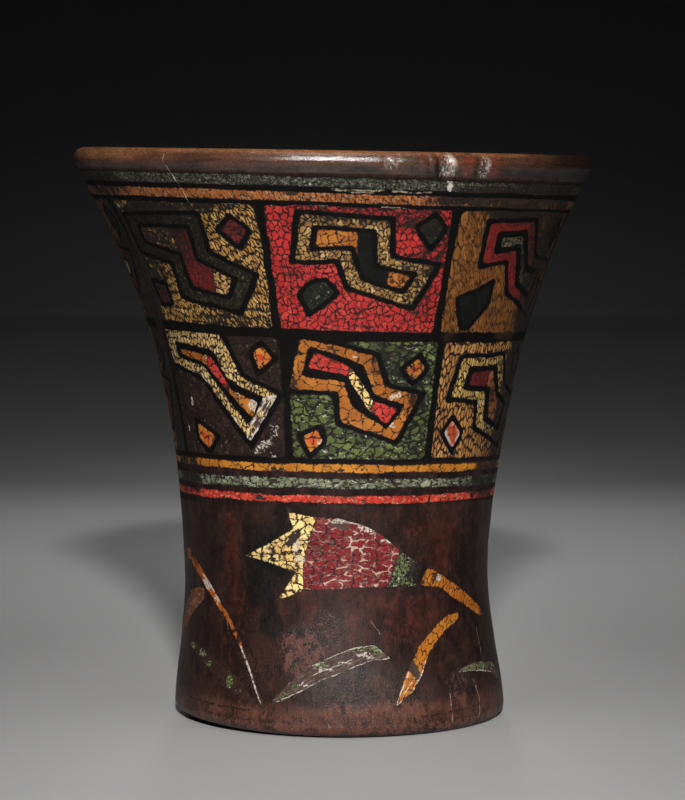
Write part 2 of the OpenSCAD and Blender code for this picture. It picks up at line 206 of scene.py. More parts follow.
PETALS = [[-17.5, 72.3], [-7, 70.5], [-9.5, 64], [-11.5, 56], [-12, 46.8], [-22, 43.3],
          [-14.5, 52.8], [-34.5, 57.2], [-15.5, 66.5]]
BELL = [[-7, 70.5], [0, 70.3], [8, 68.5], [16, 65], [24, 59], [21.5, 55], [20.5, 51],
        [18.5, 47.8], [0, 47.5], [-12, 46.8], [-11.5, 56], [-9.5, 64]]
CALYX = [[24, 59], [33.5, 54.2], [31.5, 51], [30, 47.6], [18.5, 47.8], [20.5, 51], [21.5, 55]]
STEM = [[35, 53.6], [41, 50.8], [50, 46.5], [58, 42.3], [65, 38.5], [68.5, 36.3], [69, 33.8],
        [61, 36.8], [53, 40], [46.5, 43.5], [42, 46.2], [37.5, 46.8], [32, 47.6]]
SLIM_STEM = [[-73.5, 57.2], [-66, 54.5], [-60, 51], [-50, 43.5], [-44, 38], [-38, 31.5], [-34, 25.5],
             [-29, 15.5], [-25.5, 9], [-26.5, 9], [-30.5, 16], [-36, 26], [-40, 31], [-46, 37],
             [-52, 41.5], [-61, 47.5], [-68, 51.5], [-74.5, 54.2]]
LONG_LEAF = [[51, 38], [45, 37.3], [40, 35], [35, 32], [30, 27.8], [25, 20.5], [22, 15.3], [19.5, 10],
             [26, 14], [31, 20], [33.5, 24.5], [37, 28.5], [42, 31.7], [47, 34], [51, 35.8]]
SHORT_LEAF = [[-58, 44.3], [-64, 44.5], [-70, 43], [-76, 39], [-81, 32], [-84, 25], [-77, 28.5],
              [-70, 33.5], [-65, 37.2], [-59, 40.5]]
RIGHT_LEAF = [[-23.5, 11], [-20, 14.5], [-15, 19], [-10, 22.8], [-5, 25], [0, 27], [5, 28.8], [10, 29.6],
              [14, 29.2], [19, 25], [12, 24.5], [6, 22.8], [0, 20.4], [-5, 18.8], [-10, 16.3],
              [-15, 13.7], [-20, 11]]
LEFT_LEAF = [[-29, 11], [-33, 14], [-39, 18.5], [-47, 21.5], [-55, 24.5], [-62, 26.3], [-70, 27],
             [-65, 24], [-58, 21.5], [-50, 18], [-44, 14.5], [-38, 12.5], [-32, 10.5]]
LOW_LEAF = [[80.5, 11], [77, 15.2], [72, 18.5], [62, 20.3], [56, 20.4], [50, 19.6], [46, 18.6], [55, 18],
            [62, 17.2], [70, 15.5], [76, 12.5]]
# Bands: node, height at the middle, slant to the left, slant to the front, half height
BANDS = [("upper_green_band", 175.9, 2.6, 0, 1.6), ("upper_ochre_band", 171.3, 2.6, 0, 1.45),
         ("lower_ochre_band", 84.2, 0.9, 2, 1.3), ("lower_green_band", 79.3, 0.5, 2, 1.6),
         ("lower_red_band", 74.9, 0.6, 1.3, 1.3)]


# ---------------------------------------------------------------- outlines on the unrolled wall
def dense(pts, step):
    pts = np.array(pts, float)
    out = []
    for a, b in zip(pts, np.roll(pts, -1, 0)):
        n = max(1, int(round(np.linalg.norm(b - a) / step)))
        out.append(a + (b - a) * np.arange(n)[:, None] / n)
    return np.vstack(out)


def softened(p, rounds):
    for _ in range(rounds):
        p = 0.5 * p + 0.25 * (np.roll(p, 1, 0) + np.roll(p, -1, 0))
    return p


def hand_cut(p, seed, amount):
    """Moves a dense closed outline in and out a little, the way a knife strays."""
    t = np.roll(p, -1, 0) - np.roll(p, 1, 0)
    l = np.maximum(np.linalg.norm(t, axis=1), 1e-6)
    n = np.stack([t[:, 1], -t[:, 0]], 1) / l[:, None]
    s = np.concatenate([[0], np.cumsum(np.linalg.norm(np.diff(p, axis=0), axis=1))])
    total = s[-1] + np.linalg.norm(p[0] - p[-1])
    rs = np.random.RandomState(seed)
    w = np.zeros(len(p))
    for length, a in ((11, 0.5), (6, 0.6), (3.2, 0.5), (1.9, 0.3)):
        m = max(1, int(round(total / length)))
        for mm in (m, m + 1):
            w += a * 0.6 * np.sin(2 * np.pi * mm * s / total + rs.uniform(0, 6.28))
    return p + n * (w * amount)[:, None]


def strayed(theta, z):
    """A shared drift of all outlines, so neighbours keep their gap."""
    r = radius(z)
    dx = 0.26 * around(theta, z, 60, 6, 11) + 0.10 * around(theta, z, 170, 2.2, 12)
    dz = 0.26 * around(theta, z, 60, 6, 13) + 0.10 * around(theta, z, 170, 2.2, 14)
    return theta + dx / (r * DEG), z + dz


def unrolled(c, pts, turn=0.0, rounds=2, amount=0.1, seed=1, step=0.8):
    p = softened(dense(pts, step), rounds)
    if amount:
        p = hand_cut(p, seed, amount)
    theta = c + np.degrees(np.arcsin(np.clip(p[:, 0] / radius(p[:, 1]), -1, 1))) + turn
    theta, z = strayed(theta, p[:, 1])
    return np.stack([theta, z], 1)


def inside(poly, theta, z):
    """Which points lie in a closed outline, wherever it sits around the cup."""
    hit = np.zeros(len(theta), bool)
    for turn in (-360, 0, 360):
        px, pz = poly[:, 0] + turn, poly[:, 1]
        near = np.nonzero((theta > px.min()) & (theta < px.max()) & (z > pz.min()) & (z < pz.max()))[0]
        if not len(near):
            continue
        t, h = theta[near][:, None], z[near][:, None]
        x2, z2 = np.roll(px, -1), np.roll(pz, -1)
        rise = np.where(np.abs(z2 - pz) < 1e-12, 1e-12, z2 - pz)
        odd = np.zeros(len(near), bool)
        for lo in range(0, len(px), 64):
            s = slice(lo, lo + 64)
            cross = ((pz[s] > h) != (z2[s] > h)) & (t < (x2 - px)[s] * (h - pz[s]) / rise[s] + px[s])
            odd ^= (cross.sum(1) % 2).astype(bool)
        hit[near] |= odd
    return hit


parts = []      # every inlay: its node, its style, which points it holds
loops = []      # closed outlines cut into the wall
chains = []     # open cuts between touching inlays


def add_part(node, style, test, seed):
    parts.append({"node": node, "style": style, "test": test, "seed": seed})


def in_poly(poly):
    return lambda t, z: inside(poly, t, z)


STYLE_OF = {}   # (row, column, what) -> style, for the panels that differ from their colour's usual look


STYLE_OF.update({
    (0, 0, "field"): "gold_field", (0, 0, "frame"): "dark_frame", (0, 0, "ends"): "gold_core", (0, 0, "mid"): "red_core",
    (0, 0, "diamond"): "red_diamond",
    (0, 1, "field"): "red_field", (0, 1, "frame"): "yellow_frame", (0, 1, "ends"): "ochre_core", (0, 1, "mid"): "charcoal",
    (0, 1, "diamond"): "dark_diamond",
    (0, 2, "field"): "ochre_field", (0, 2, "frame"): "red_frame", (0, 2, "ends"): "olive_core", (0, 2, "mid"): "olive_core",
    (0, 2, "diamond"): "charcoal",
    (1, 0, "field"): "purple_field", (1, 0, "frame"): "worn_yellow", (1, 0, "ends"): "ochre_frame", (1, 0, "mid"): "red_bright",
    (1, 0, "diamond"): "ochre_diamond",
    (1, 1, "field"): "green_field", (1, 1, "frame"): "ochre_frame", (1, 1, "ends"): "red_bright", (1, 1, "mid"): "cream",
    (1, 1, "diamond"): "ochre_diamond",
    (1, 2, "field"): "tan_field", (1, 2, "frame"): "olive_yellow", (1, 2, "ends"): "red_core", (1, 2, "mid"): "ochre_dull",
    (1, 2, "diamond"): "orange_diamond"})
USUAL = {
    "field": {"yellow": "gold_field", "red": "red_field", "ochre": "ochre_field", "purple": "purple_field", "green": "green_field"},
    "frame": {"yellow": "yellow_frame", "red": "red_frame", "ochre": "ochre_frame", "dark": "dark_frame"},
    "ends": {"yellow": "cream", "red": "red_bright", "ochre": "ochre_core", "green": "olive_core", "dark": "charcoal"},
    "mid": {"yellow": "cream", "red": "red_core", "ochre": "ochre_core", "green": "olive_core", "dark": "charcoal"},
    "diamond": {"red": "red_diamond", "ochre": "ochre_diamond", "dark": "dark_diamond"}}


def pick(row, k, what, colour):
    return STYLE_OF.get((row, k, what)) or USUAL[what][colour]


def away(*tests):
    return lambda t, z: tests[0](t, z) & ~np.any([f(t, z) for f in tests[1:]], axis=0)


for row in (0, 1):
    name = ("upper", "lower")[row]
    for k in range(7):
        field_c, frame_c, ends_c, mid_c, diamond_c, shape = PANELS[row][k]
        c = middle(row, k)
        seed = 100 * row + 10 * k
        zig = laid(row, k, ZIGZAGS[row][shape])
        if row == 1 and shape < 2:
            hole, heart = laid(row, k, OWN_HOLES[shape]), laid(row, k, OWN_CORES[shape])
        else:
            hole, heart = inset(zig, FRAME_W), inset(zig, FRAME_W + CORE_GAP + CORE_EXTRA[row][shape])
        around_zig = unrolled(c, inset(zig, -LINE_W), 0, 2, 0.12, seed + 1)
        outer = unrolled(c, zig, 0, 2, 0.12, seed + 2)
        inner = unrolled(c, hole, 0, 2, 0.10, seed + 3)
        core = unrolled(c, heart, 0, 2, 0.10, seed + 4)
        field = unrolled(c, [on_panel(row, k, p) for p in (CUT_CORNER if row == 1 and shape < 2 else PLAIN)], 0, 2, 0.12, seed + 5)
        gems, rounds = [], []
        for j in (0, 1):
            gem = laid(row, k, DIAMONDS[row][shape][j])
            gems.append(unrolled(c, gem, 0, 2, 0.10, seed + 6 + j))
            rounds.append(unrolled(c, inset(gem, -DIAMOND_GAP, 1.2), 0, 3, 0.12, seed + 8 + j))
        loops += [around_zig, outer, inner, core, field] + gems + rounds
        add_part(f"{name}_field_{k + 1}", pick(row, k, "field", field_c),
                 away(in_poly(field), in_poly(around_zig), in_poly(rounds[0]), in_poly(rounds[1])), seed)
        add_part(f"{name}_zigzag_{k + 1}", pick(row, k, "frame", frame_c), away(in_poly(outer), in_poly(inner)), seed + 1)
        if ends_c == mid_c:
            add_part(f"{mid_c}_cores", pick(row, k, "mid", mid_c), in_poly(core), seed + 2)
        else:
            u, d = CORE_CUTS[row][shape]
            halves = [[u, 115], [115, 115], [115, 60], [d, 60], [d - 4, -5], [-15, -5], [-15, 52], [u, 52]]
            cut = unrolled(c, [on_panel(row, k, p) for p in halves], 0, 0, 0, 0, 0.5)
            within = inside(core, cut[:, 0], cut[:, 1])
            within |= np.roll(within, 1) | np.roll(within, -1)
            run = []
            for i in list(range(len(cut))) + [0]:
                if within[i]:
                    run.append(cut[i])
                elif len(run) > 1:
                    chains.append(np.array(run))
                    run = []
                else:
                    run = []
            add_part(f"{mid_c}_cores", pick(row, k, "mid", mid_c),
                     (lambda a, b: lambda t, z: inside(a, t, z) & inside(b, t, z))(core, cut), seed + 2)
            add_part(f"{ends_c}_cores", pick(row, k, "ends", ends_c),
                     (lambda a, b: lambda t, z: inside(a, t, z) & ~inside(b, t, z))(core, cut), seed + 3)
        for j in (0, 1):
            add_part(f"{diamond_c}_diamonds", pick(row, k, "diamond", diamond_c), in_poly(gems[j]), seed + 4 + j)


def side_part(node, style_name, c, pts, turns, rounds=1, amount=0.12, seed=300, shared=False):
    for i, a in enumerate(turns):
        p = unrolled(c, [on_side(c, q) for q in pts], a, 0 if shared else rounds, 0 if shared else amount, seed + i)
        loops.append(p)
        add_part(node, style_name, in_poly(p), seed + i)


side_part("flower_petals", "petal", 0, PETALS, [0, -110, 125], shared=True, seed=310)
side_part("flower_bells", "bell", 0, BELL, [0, -110, 125], shared=True, seed=320)
side_part("flower_calyxes", "calyx", 0, CALYX, [0, -110, 125], shared=True, seed=330)
side_part("flower_stems", "stem", 58, STEM, [0, 125], seed=340)
side_part("flower_stems", "slim_stem", -50, SLIM_STEM, [0], seed=345)
side_part("ochre_leaves", "leaf", 35, LONG_LEAF, [0, 125], seed=350)
side_part("ochre_leaves", "brown_leaf", -71, SHORT_LEAF, [0], seed=355)
side_part("green_leaves_right", "green_leaf", -3, RIGHT_LEAF, [0, 110, -125], seed=360)
side_part("green_leaves_left", "left_leaf", -48, LEFT_LEAF, [0, -125], seed=370)
side_part("green_leaves_left", "green_leaf", 64, LOW_LEAF, [0], seed=375)


def band_edge(b, side, theta):
    i = [x[0] for x in BANDS].index(b[0])
    rough = 0.16 if b[1] > 150 else 0.24
    return (b[1] + b[3] * cosd(theta) - b[2] * sind(theta) + side * b[4]
            + rough * around(theta, 0, 34, 1, 40 + 2 * i + (side > 0))
            + 0.5 * rough * around(theta, 0, 97, 1, 60 + 2 * i + (side > 0))
            + 0.35 * rough * around(theta, 0, 260, 1, 80 + 2 * i + (side > 0)))


def in_band(b):
    return lambda t, z: (z > band_edge(b, -1, t)) & (z < band_edge(b, 1, t))


for i, b in enumerate(BANDS):
    add_part(b[0], b[0], in_band(b), 400 + i)

# ---------------------------------------------------------------- one net of triangles over the outer wall
SEAM = -172.15
UNIT = 62 * DEG          # millimetres per degree on the net
BOTTOM = 4.4
N_TOP, N_BOTTOM = 640, 380


def net_top(theta):
    return rim_z(theta) - 7.0


net_pts, net_edges = [], []


def add_run(p, closed):
    """Adds an outline to the net, with its copy past the seam where it reaches over it."""
    for turn in (-360, 0, 360):
        q = p + [turn, 0]
        if q[:, 0].max() < SEAM - 1e-9 or q[:, 0].min() > SEAM + 360 + 1e-9:
            continue
        first = len(net_pts)
        net_pts.extend(q.tolist())
        net_edges.extend((first + i, first + i + 1) for i in range(len(q) - 1))
        if closed:
            net_edges.append((first + len(q) - 1, first))


for p in loops:
    add_run(p, True)
for p in chains:
    add_run(p, False)
for b in BANDS:
    n = int(round(2 * math.pi * float(radius(b[1])) / 0.85))
    t = SEAM + 360 * np.arange(n + 1) / n
    for side in (-1, 1):
        z = band_edge(b, side, t)
        z[-1] = z[0]
        net_pts_first = len(net_pts)
        net_pts.extend(np.stack([t, z], 1).tolist())
        net_edges.extend((net_pts_first + i, net_pts_first + i + 1) for i in range(n))
cut_count = len(net_pts)

t_top = SEAM + 360 * np.arange(N_TOP + 1) / N_TOP
t_bot = SEAM + 360 * np.arange(N_BOTTOM + 1) / N_BOTTOM
z_top = net_top(t_top)
z_top[-1] = z_top[0]
seam_z = np.linspace(BOTTOM, z_top[0], 170)
for q in (np.stack([t_top, z_top], 1), np.stack([t_bot, np.full(N_BOTTOM + 1, BOTTOM)], 1),
          np.stack([np.full(170, SEAM), seam_z], 1), np.stack([np.full(170, SEAM + 360), seam_z], 1)):
    first = len(net_pts)
    net_pts.extend(q.tolist())
    net_edges.extend((first + i, first + i + 1) for i in range(len(q) - 1))


def metric(theta, z):
    r = radius(z)
    return np.stack([r * sind(theta), -r * cosd(theta), np.asarray(z, float)], -1)


tree = kdtree.KDTree(len(net_pts))
for i, p in enumerate(metric(*np.array(net_pts).T)):
    tree.insert(p, i)
tree.balance()
grid = []
z, odd = BOTTOM + 1.0, 0
while z < 188:
    g = 1.12 if 70 < z < 182 else 1.2
    n = int(round(2 * math.pi * float(radius(z)) / g))
    t = SEAM + (np.arange(n) + 0.25 + 0.5 * odd) * 360 / n
    wob = np.stack([t + 0.12 * around(t, z, 300, 1.3, 31), z + 0.12 * around(t, z, 300, 1.3, 32)], 1)
    grid.append(wob[wob[:, 1] < net_top(wob[:, 0]) - 0.6])
    z, odd = z + 0.87 * g, 1 - odd
grid = np.vstack(grid)
grid = grid[(grid[:, 0] > SEAM + 0.5) & (grid[:, 0] < SEAM + 359.5)]
free = np.array([tree.find(p)[2] > 0.5 for p in metric(grid[:, 0], grid[:, 1])])
net_pts = np.vstack([np.array(net_pts), grid[free]])

solved = delaunay_2d_cdt([Vector((p[0] * UNIT, p[1])) for p in net_pts], net_edges, [], 0, 1e-5, False)
V = np.array([(v.x / UNIT, v.y) for v in solved[0]])
T = np.array([f for f in solved[2] if len(f) == 3])
mid = V[T].mean(1)
T = T[(mid[:, 0] > SEAM) & (mid[:, 0] < SEAM + 360) & (mid[:, 1] > BOTTOM) & (mid[:, 1] < net_top(mid[:, 0]))]
area = ((V[T[:, 1], 0] - V[T[:, 0], 0]) * (V[T[:, 2], 1] - V[T[:, 0], 1])
        - (V[T[:, 2], 0] - V[T[:, 0], 0]) * (V[T[:, 1], 1] - V[T[:, 0], 1]))
T[area < 0] = T[area < 0][:, ::-1]
T = T[np.abs(area) > 1e-9]
# each triangle's own angles, before the two sides of the seam are joined
corner_t, corner_z = V[T][:, :, 0], V[T][:, :, 1]
mid = V[T].mean(1)

label = np.full(len(T), -1)
for i, part in enumerate(parts):
    label[part["test"](mid[:, 0], mid[:, 1]) & (label < 0)] = i

left = np.nonzero(np.abs(V[:, 0] - SEAM) < 1e-3)[0]
join = np.arange(len(V))
for i in np.nonzero(np.abs(V[:, 0] - SEAM - 360) < 1e-3)[0]:
    join[i] = left[np.argmin(np.abs(V[left, 1] - V[i, 1]))]
T = join[T]

# edges where two different things meet
E = np.concatenate([T[:, [0, 1]], T[:, [1, 2]], T[:, [2, 0]]])
owner = np.tile(np.arange(len(T)), 3)
key = np.sort(E, 1)
key = key[:, 0].astype(np.int64) * len(V) + key[:, 1]
order = np.argsort(key, kind="stable")
same = key[order][1:] == key[order][:-1]
pair_a, pair_b = order[:-1][same], order[1:][same]
other = np.full(len(E), -2)
other[pair_a], other[pair_b] = label[owner[pair_b]], label[owner[pair_a]]
border = (other >= -1) & (other != label[owner])
B_edge, B_from, B_to = E[border], label[owner[border]], other[border]

VT, VZ = V[:, 0], V[:, 1]
base3 = metric(VT, VZ)
rim_tree = kdtree.KDTree(2 * len(B_edge))
for i, (a, b) in enumerate(B_edge):
    rim_tree.insert(base3[a], 2 * i)
    rim_tree.insert((base3[a] + base3[b]) / 2, 2 * i + 1)
rim_tree.balance()
used = np.unique(T)
gap = np.full(len(V), 99.0)
for i in used:
    gap[i] = rim_tree.find(base3[i])[2]
on_border = np.zeros(len(V), bool)
on_border[B_edge.ravel()] = True
gap[on_border] = 0


# ---------------------------------------------------------------- wear, dirt, painted side shade and painted glints, placed one by one
def spots(theta, z, places, seed):
    """A soft mask from a list of ovals: angle, height, half width and half height in mm, strength."""
    r = radius(z)
    t2 = theta + (0.9 * around(theta, z, 90, 4, seed) + 0.4 * around(theta, z, 240, 1.6, seed + 1)) / (r * DEG)
    z2 = z + 0.9 * around(theta, z, 90, 4, seed + 2) + 0.4 * around(theta, z, 240, 1.6, seed + 3)
    out = np.zeros(len(theta))
    for a, h, w, v, s in places:
        da = (t2 - a + 180) % 360 - 180
        d = np.hypot(da * DEG * r / w, (z2 - h) / v)
        out = np.maximum(out, s * (1 - ease(d, 0.6, 1.25)))
    return out


# resin broken away down to the dark ground
LOSS = [(-23.4, 105.4, 1.2, 2.4, 1.2), (-26.8, 100.2, 1.3, 3.0, 1.2), (-29.0, 96.6, 0.9, 1.8, 1), (-21, 85.5, 2.6, 0.9, 1), (-16.6, 86.3, 1.2, 0.6, 0.8), (2, 85.5, 1.6, 0.5, 0.8), (8, 85.2, 0.8, 0.6, 0.9),
        (17, 85.0, 0.9, 0.5, 0.8), (-22, 81.2, 1.8, 0.9, 0.9), (14, 81.4, 4, 0.6, 0.9), (20, 81, 2.6, 0.5, 0.8),
        (-27.5, 75.8, 1.8, 1.0, 1), (-24, 75.2, 0.8, 0.8, 0.7), (34, 75.2, 0.8, 1.6, 1), (44, 74.9, 0.6, 0.6, 0.7),
        (52, 74.6, 0.8, 0.5, 0.7), (57, 74.4, 0.7, 0.6, 0.7), (-12, 75.9, 0.7, 0.5, 0.6),
        (-16.7, 62.3, 1.5, 2.8, 1), (-14.3, 64.4, 1.0, 2.0, 1), (-13, 59.5, 1.4, 0.8, 0.8), (0, 68.2, 3.2, 1.1, 1), (3.5, 67.2, 1.8, 0.8, 0.9),
        (-7, 61, 1.5, 0.8, 0.7), (-9.5, 57.8, 1.3, 0.8, 0.7), (27, 22, 2.2, 2.8, 1), (28.5, 18.6, 1.2, 1.8, 0.8),
        (-10, 172.1, 3.2, 0.9, 0.9), (-45, 172.8, 2, 0.8, 0.6), (46, 170, 5, 1.4, 0.8), (58, 170, 6, 1.6, 0.9),
        (-54, 124, 1.2, 0.8, 0.5), (29, 53.5, 1.2, 1.6, 0.8), (27.5, 50.5, 1.0, 1.2, 0.7),
        (-34.6, 25.0, 2.0, 2.0, 1.6), (-33, 21.5, 2.4, 3.2, 2), (-30.6, 17, 2.4, 3.6, 2), (-28.4, 12.6, 2.4, 3.6, 2), (-26.6, 9.4, 2, 2, 2), (-47.6, 115.0, 1.4, 1.2, 1), (-44.6, 112.2, 0.8, 1.2, 0.8), (-41.8, 108.6, 1.0, 1.6, 0.9), (67.5, 35.2, 1.2, 1.6, 0.7),
        (16, 121.8, 1.2, 0.8, 0.7), (-2, 124.2, 3.0, 0.8, 0.7), (-47, 112, 0.9, 2.2, 0.7)]
# pale ground left where resin has flaked thin, and painted glints: the small pale ovals on the upper bands and on a
# dark diamond
WHITE_AND_GLINTS = [(-42, 171.2, 3.0, 0.7, 0.5), (-6.9, 176.7, 0.7, 0.4, 0.8), (-4.5, 175.4, 0.6, 0.4, 0.8), (-31.7, 170.9, 0.6, 0.5, 0.9), (-14.6, 169.1, 0.6, 0.4, 0.8), (-61.7, 168.9, 0.8, 1.2, 0.9), (-60.9, 166.1, 0.8, 1.1, 0.8),
         (-28.2, 106, 1.8, 2.4, 1), (-4, 21.8, 3.6, 0.9, 0.62), (3, 24.6, 4, 0.9, 0.6), (10, 26.4, 4, 1.3, 0.56), (-12, 16.8, 3.6, 0.8, 0.56), (-6.6, 24.0, 2.4, 0.8, 0.5), (25.6, 174.8, 1.2, 2.4, 0.8),
         (-5.4, 140.8, 1.3, 0.7, 0.55), (-2.7, 142.2, 0.9, 0.5, 0.5), (-20.6, 107.6, 1.5, 1.2, 0.9), (-24.5, 93.6, 3.0, 2.6, 0.55), (-21, 98, 2.2, 3.0, 0.42), (-27.6, 91.4, 2.2, 1.2, 0.5), (-55, 106.5, 0.6, 0.9, 1),
         (-22.5, 89.6, 1.6, 0.5, 0.8), (18.2, 109.2, 1.7, 1.0, 1), (17.2, 107.4, 0.7, 1.6, 0.7), (41.2, 48.9, 1.0, 1.4, 1.1),
         (-5.5, 94.6, 1.5, 1.6, 0.7), (-3.5, 92.5, 1.4, 0.7, 0.6), (2, 94.5, 1.2, 1.2, 0.5), (17.5, 100.3, 1.2, 0.9, 0.8), (13, 47.9, 3.2, 0.5, 1),
         (3.2, 69.1, 4.4, 0.9, 1.1), (11, 67.0, 3.4, 0.9, 1.0), (18.5, 63.2, 2.8, 0.9, 0.8), (-0.5, 68.8, 2.0, 0.4, 0.8), (-1, 60, 4, 2.4, 0.3), (-13.4, 57.4, 1.4, 1.6, 0.6), (-14.2, 61.2, 1.2, 1.6, 0.8), (-12.5, 66.8, 1.2, 1.1, 0.6),
         (-55.5, 45.8, 3.4, 0.9, 1), (-50.5, 42, 2.2, 0.7, 0.9), (-57.5, 47, 1.2, 0.8, 0.8), (27, 14.5, 1.2, 1.2, 0.7),
         (-33, 108.4, 0.8, 2.2, 0.4), (51.5, 105.5, 1.0, 1.8, 0.7), (71, 37, 1.2, 1.2, 0.8), (10, 47.5, 1.2, 0.4, 0.7),
         (-59.6, 98, 0.9, 1.6, 0.7), (-43.8, 121, 0.5, 1.4, 0.7), (-45.5, 115.6, 0.4, 1.2, 0.6), (4.8, 122, 1.2, 0.8, 0.6)]
# dirt that dulls the colour, and painted shade: the ovals at the far left and right darken the cup's sides
GRIME_AND_SIDE_SHADE = [(-50, 166, 14, 5.5, 1.1), (-38, 169, 26, 2.6, 0.8), (-56, 152, 7, 16, 0.75), (-66, 150, 9, 26, 1.4), (-70, 130, 8, 40, 1.3), (-70, 100, 6, 30, 1.2),
         (60, 160, 8, 16, 0.8), (68, 150, 9, 28, 1.3), (72, 110, 8, 40, 1.2), (48, 168, 16, 5, 1.1), (40, 172, 22, 3, 0.9), (-64, 176, 16, 5, 0.8), (58, 174, 20, 6, 1.2),
         (-62, 112, 4, 12, 0.6), (62, 105, 5, 16, 0.5), (15, 120, 9, 6, 0.6), (25, 112, 4, 12, 0.62), (26, 98, 4, 10, 0.45), (20, 116, 5, 6, 0.55), (-48, 158, 12, 8, 0.75), (-58, 160, 8, 10, 1.0), (20, 164, 9, 5, 0.6), (-64, 82, 8, 7, 0.9),
         (62, 80, 9, 8, 0.8), (46, 80, 10, 6, 0.3), (-66, 52, 5, 6, 0.5), (-66, 38, 8, 7, 0.35), (78, 34, 8, 6, 0.6), (31.5, 52, 2.8, 4.2, 1.2), (28.4, 50.6, 1.6, 2.2, 0.9), (-12, 150, 3, 4, 0.2),
         (5, 166.5, 24, 3, 0.5), (25, 155, 5, 10, 0.6), (23, 139, 6, 7, 0.35), (19, 149, 5, 6, 0.5), (-15, 113, 3, 6, 0.6), (-32, 133.5, 14, 2.5, 0.55),
         (32, 170.8, 16, 2.4, 1.1), (-24, 57.5, 5, 3, 0.4), (39.5, 49.5, 3, 3, 0.6)]
# ---------------------------------------------------------------- meshes
def new_mesh(name, verts, tris, smooth, slots=None):
    me = bpy.data.meshes.new(name)
    me.vertices.add(len(verts))
    me.vertices.foreach_set("co", (np.asarray(verts, float) * MM).ravel().astype(np.float32))
    n = len(tris)
    me.loops.add(3 * n)
    me.loops.foreach_set("vertex_index", np.asarray(tris).ravel().astype(np.int32))
    me.polygons.add(n)
    me.polygons.foreach_set("loop_start", np.arange(0, 3 * n, 3, dtype=np.int32))
    me.polygons.foreach_set("use_smooth", np.asarray(smooth, bool))
    if slots is not None:
        me.polygons.foreach_set("material_index", np.asarray(slots, np.int32))
    me.update(calc_edges=True)
    ob = bpy.data.objects.new(name, me)
    bpy.context.scene.collection.objects.link(ob)
    return ob


def give(ob, name, values, kind="FLOAT", domain="POINT"):
    a = ob.data.attributes.new(name, kind, domain)
    field = {"FLOAT": "value", "FLOAT_VECTOR": "vector", "FLOAT_COLOR": "color"}[kind]
    a.data.foreach_set(field, np.asarray(values, np.float32).ravel())


def linear(*rgb):
    c = np.array(rgb, float) / 255
    return np.where(c <= 0.04045, c / 12.92, ((c + 0.055) / 1.055) ** 2.4)


# --- the inlays: a slightly crowned face, straight sides, a back that sits in the recess
KEEP_RIGHT = [(-6.5, 23.4, 3.6, 1.5, 1), (7, 28.2, 4.2, 1.2, 1), (14, 27.6, 2.2, 1.5, 1), (-19, 13.6, 2.0, 1.2, 0.8), (-14.5, 17, 1.5, 1.0, 0.6)]
KEEP_LEFT = [(-65, 25.2, 3.2, 0.9, 1), (-57.5, 23, 2.4, 0.9, 1), (-52.5, 20, 2.2, 0.9, 0.9), (-40.5, 16.2, 1.6, 2.2, 1), (-36.5, 13.6, 1.2, 1.2, 0.6)]
KEEP = [(58, 18.8, 12, 1.3, 1), (72, 16.5, 4, 1.5, 0.6)]
KEEP += [(a + t, h, w, v, s) for t in (0, 110, -125) for a, h, w, v, s in KEEP_RIGHT]
KEEP += [(a + t, h, w, v, s) for t in (0, -125) for a, h, w, v, s in KEEP_LEFT]
keep_at = spots(VT, VZ, KEEP, 87)
loss_at = spots(VT, VZ, LOSS, 71)
white_and_glint_at = spots(VT, VZ, WHITE_AND_GLINTS, 75)
grime_and_shade_at = spots(VT, VZ, GRIME_AND_SIDE_SHADE, 79)
DENTS = [(21.9, 0.9, 1.5), (23.6, 1.1, 1.2), (19.4, 0.5, 0.6), (30.6, 0.7, 0.9), (32.2, 0.9, 0.8), (10.4, 0.8, 0.2), (12.4, 0.7, 0.22),
         (-101, 1.4, 0.4), (140, 2.0, 0.5), (200, 1.2, 0.3)]


def dents(theta, w):
    out = np.zeros(np.shape(theta))
    for a, s, d in DENTS:
        da = (theta - a - 0.2 * w + 180) % 360 - 180
        out = out + d * np.exp(-(da / s) ** 2)
    return out * ease(w, 12.5, 4.5) * (0.75 + 0.25 * around(theta, w, 240, 1.5, 36))


wall_r = radius(VZ) + ripple(VT, VZ) - np.where(VZ > 160, dents(VT, np.maximum(rim_z(VT) - VZ, 0)), 0)
crown = 0.012 * ease(gap, 0, 0.6) + 0.03 * around(VT, VZ, 150, 2.6, 33) * ease(gap, 0, 0.8)
pit = 0.25 * ease(loss_at, 0.35, 0.75) + 0.12 * ease(white_and_glint_at, 0.35, 0.75)
face_r = wall_r + crown - pit * ease(gap, -0.2, 0.5)

nodes = {}
for i, part in enumerate(parts):
    nodes.setdefault(part["node"], []).append(i)

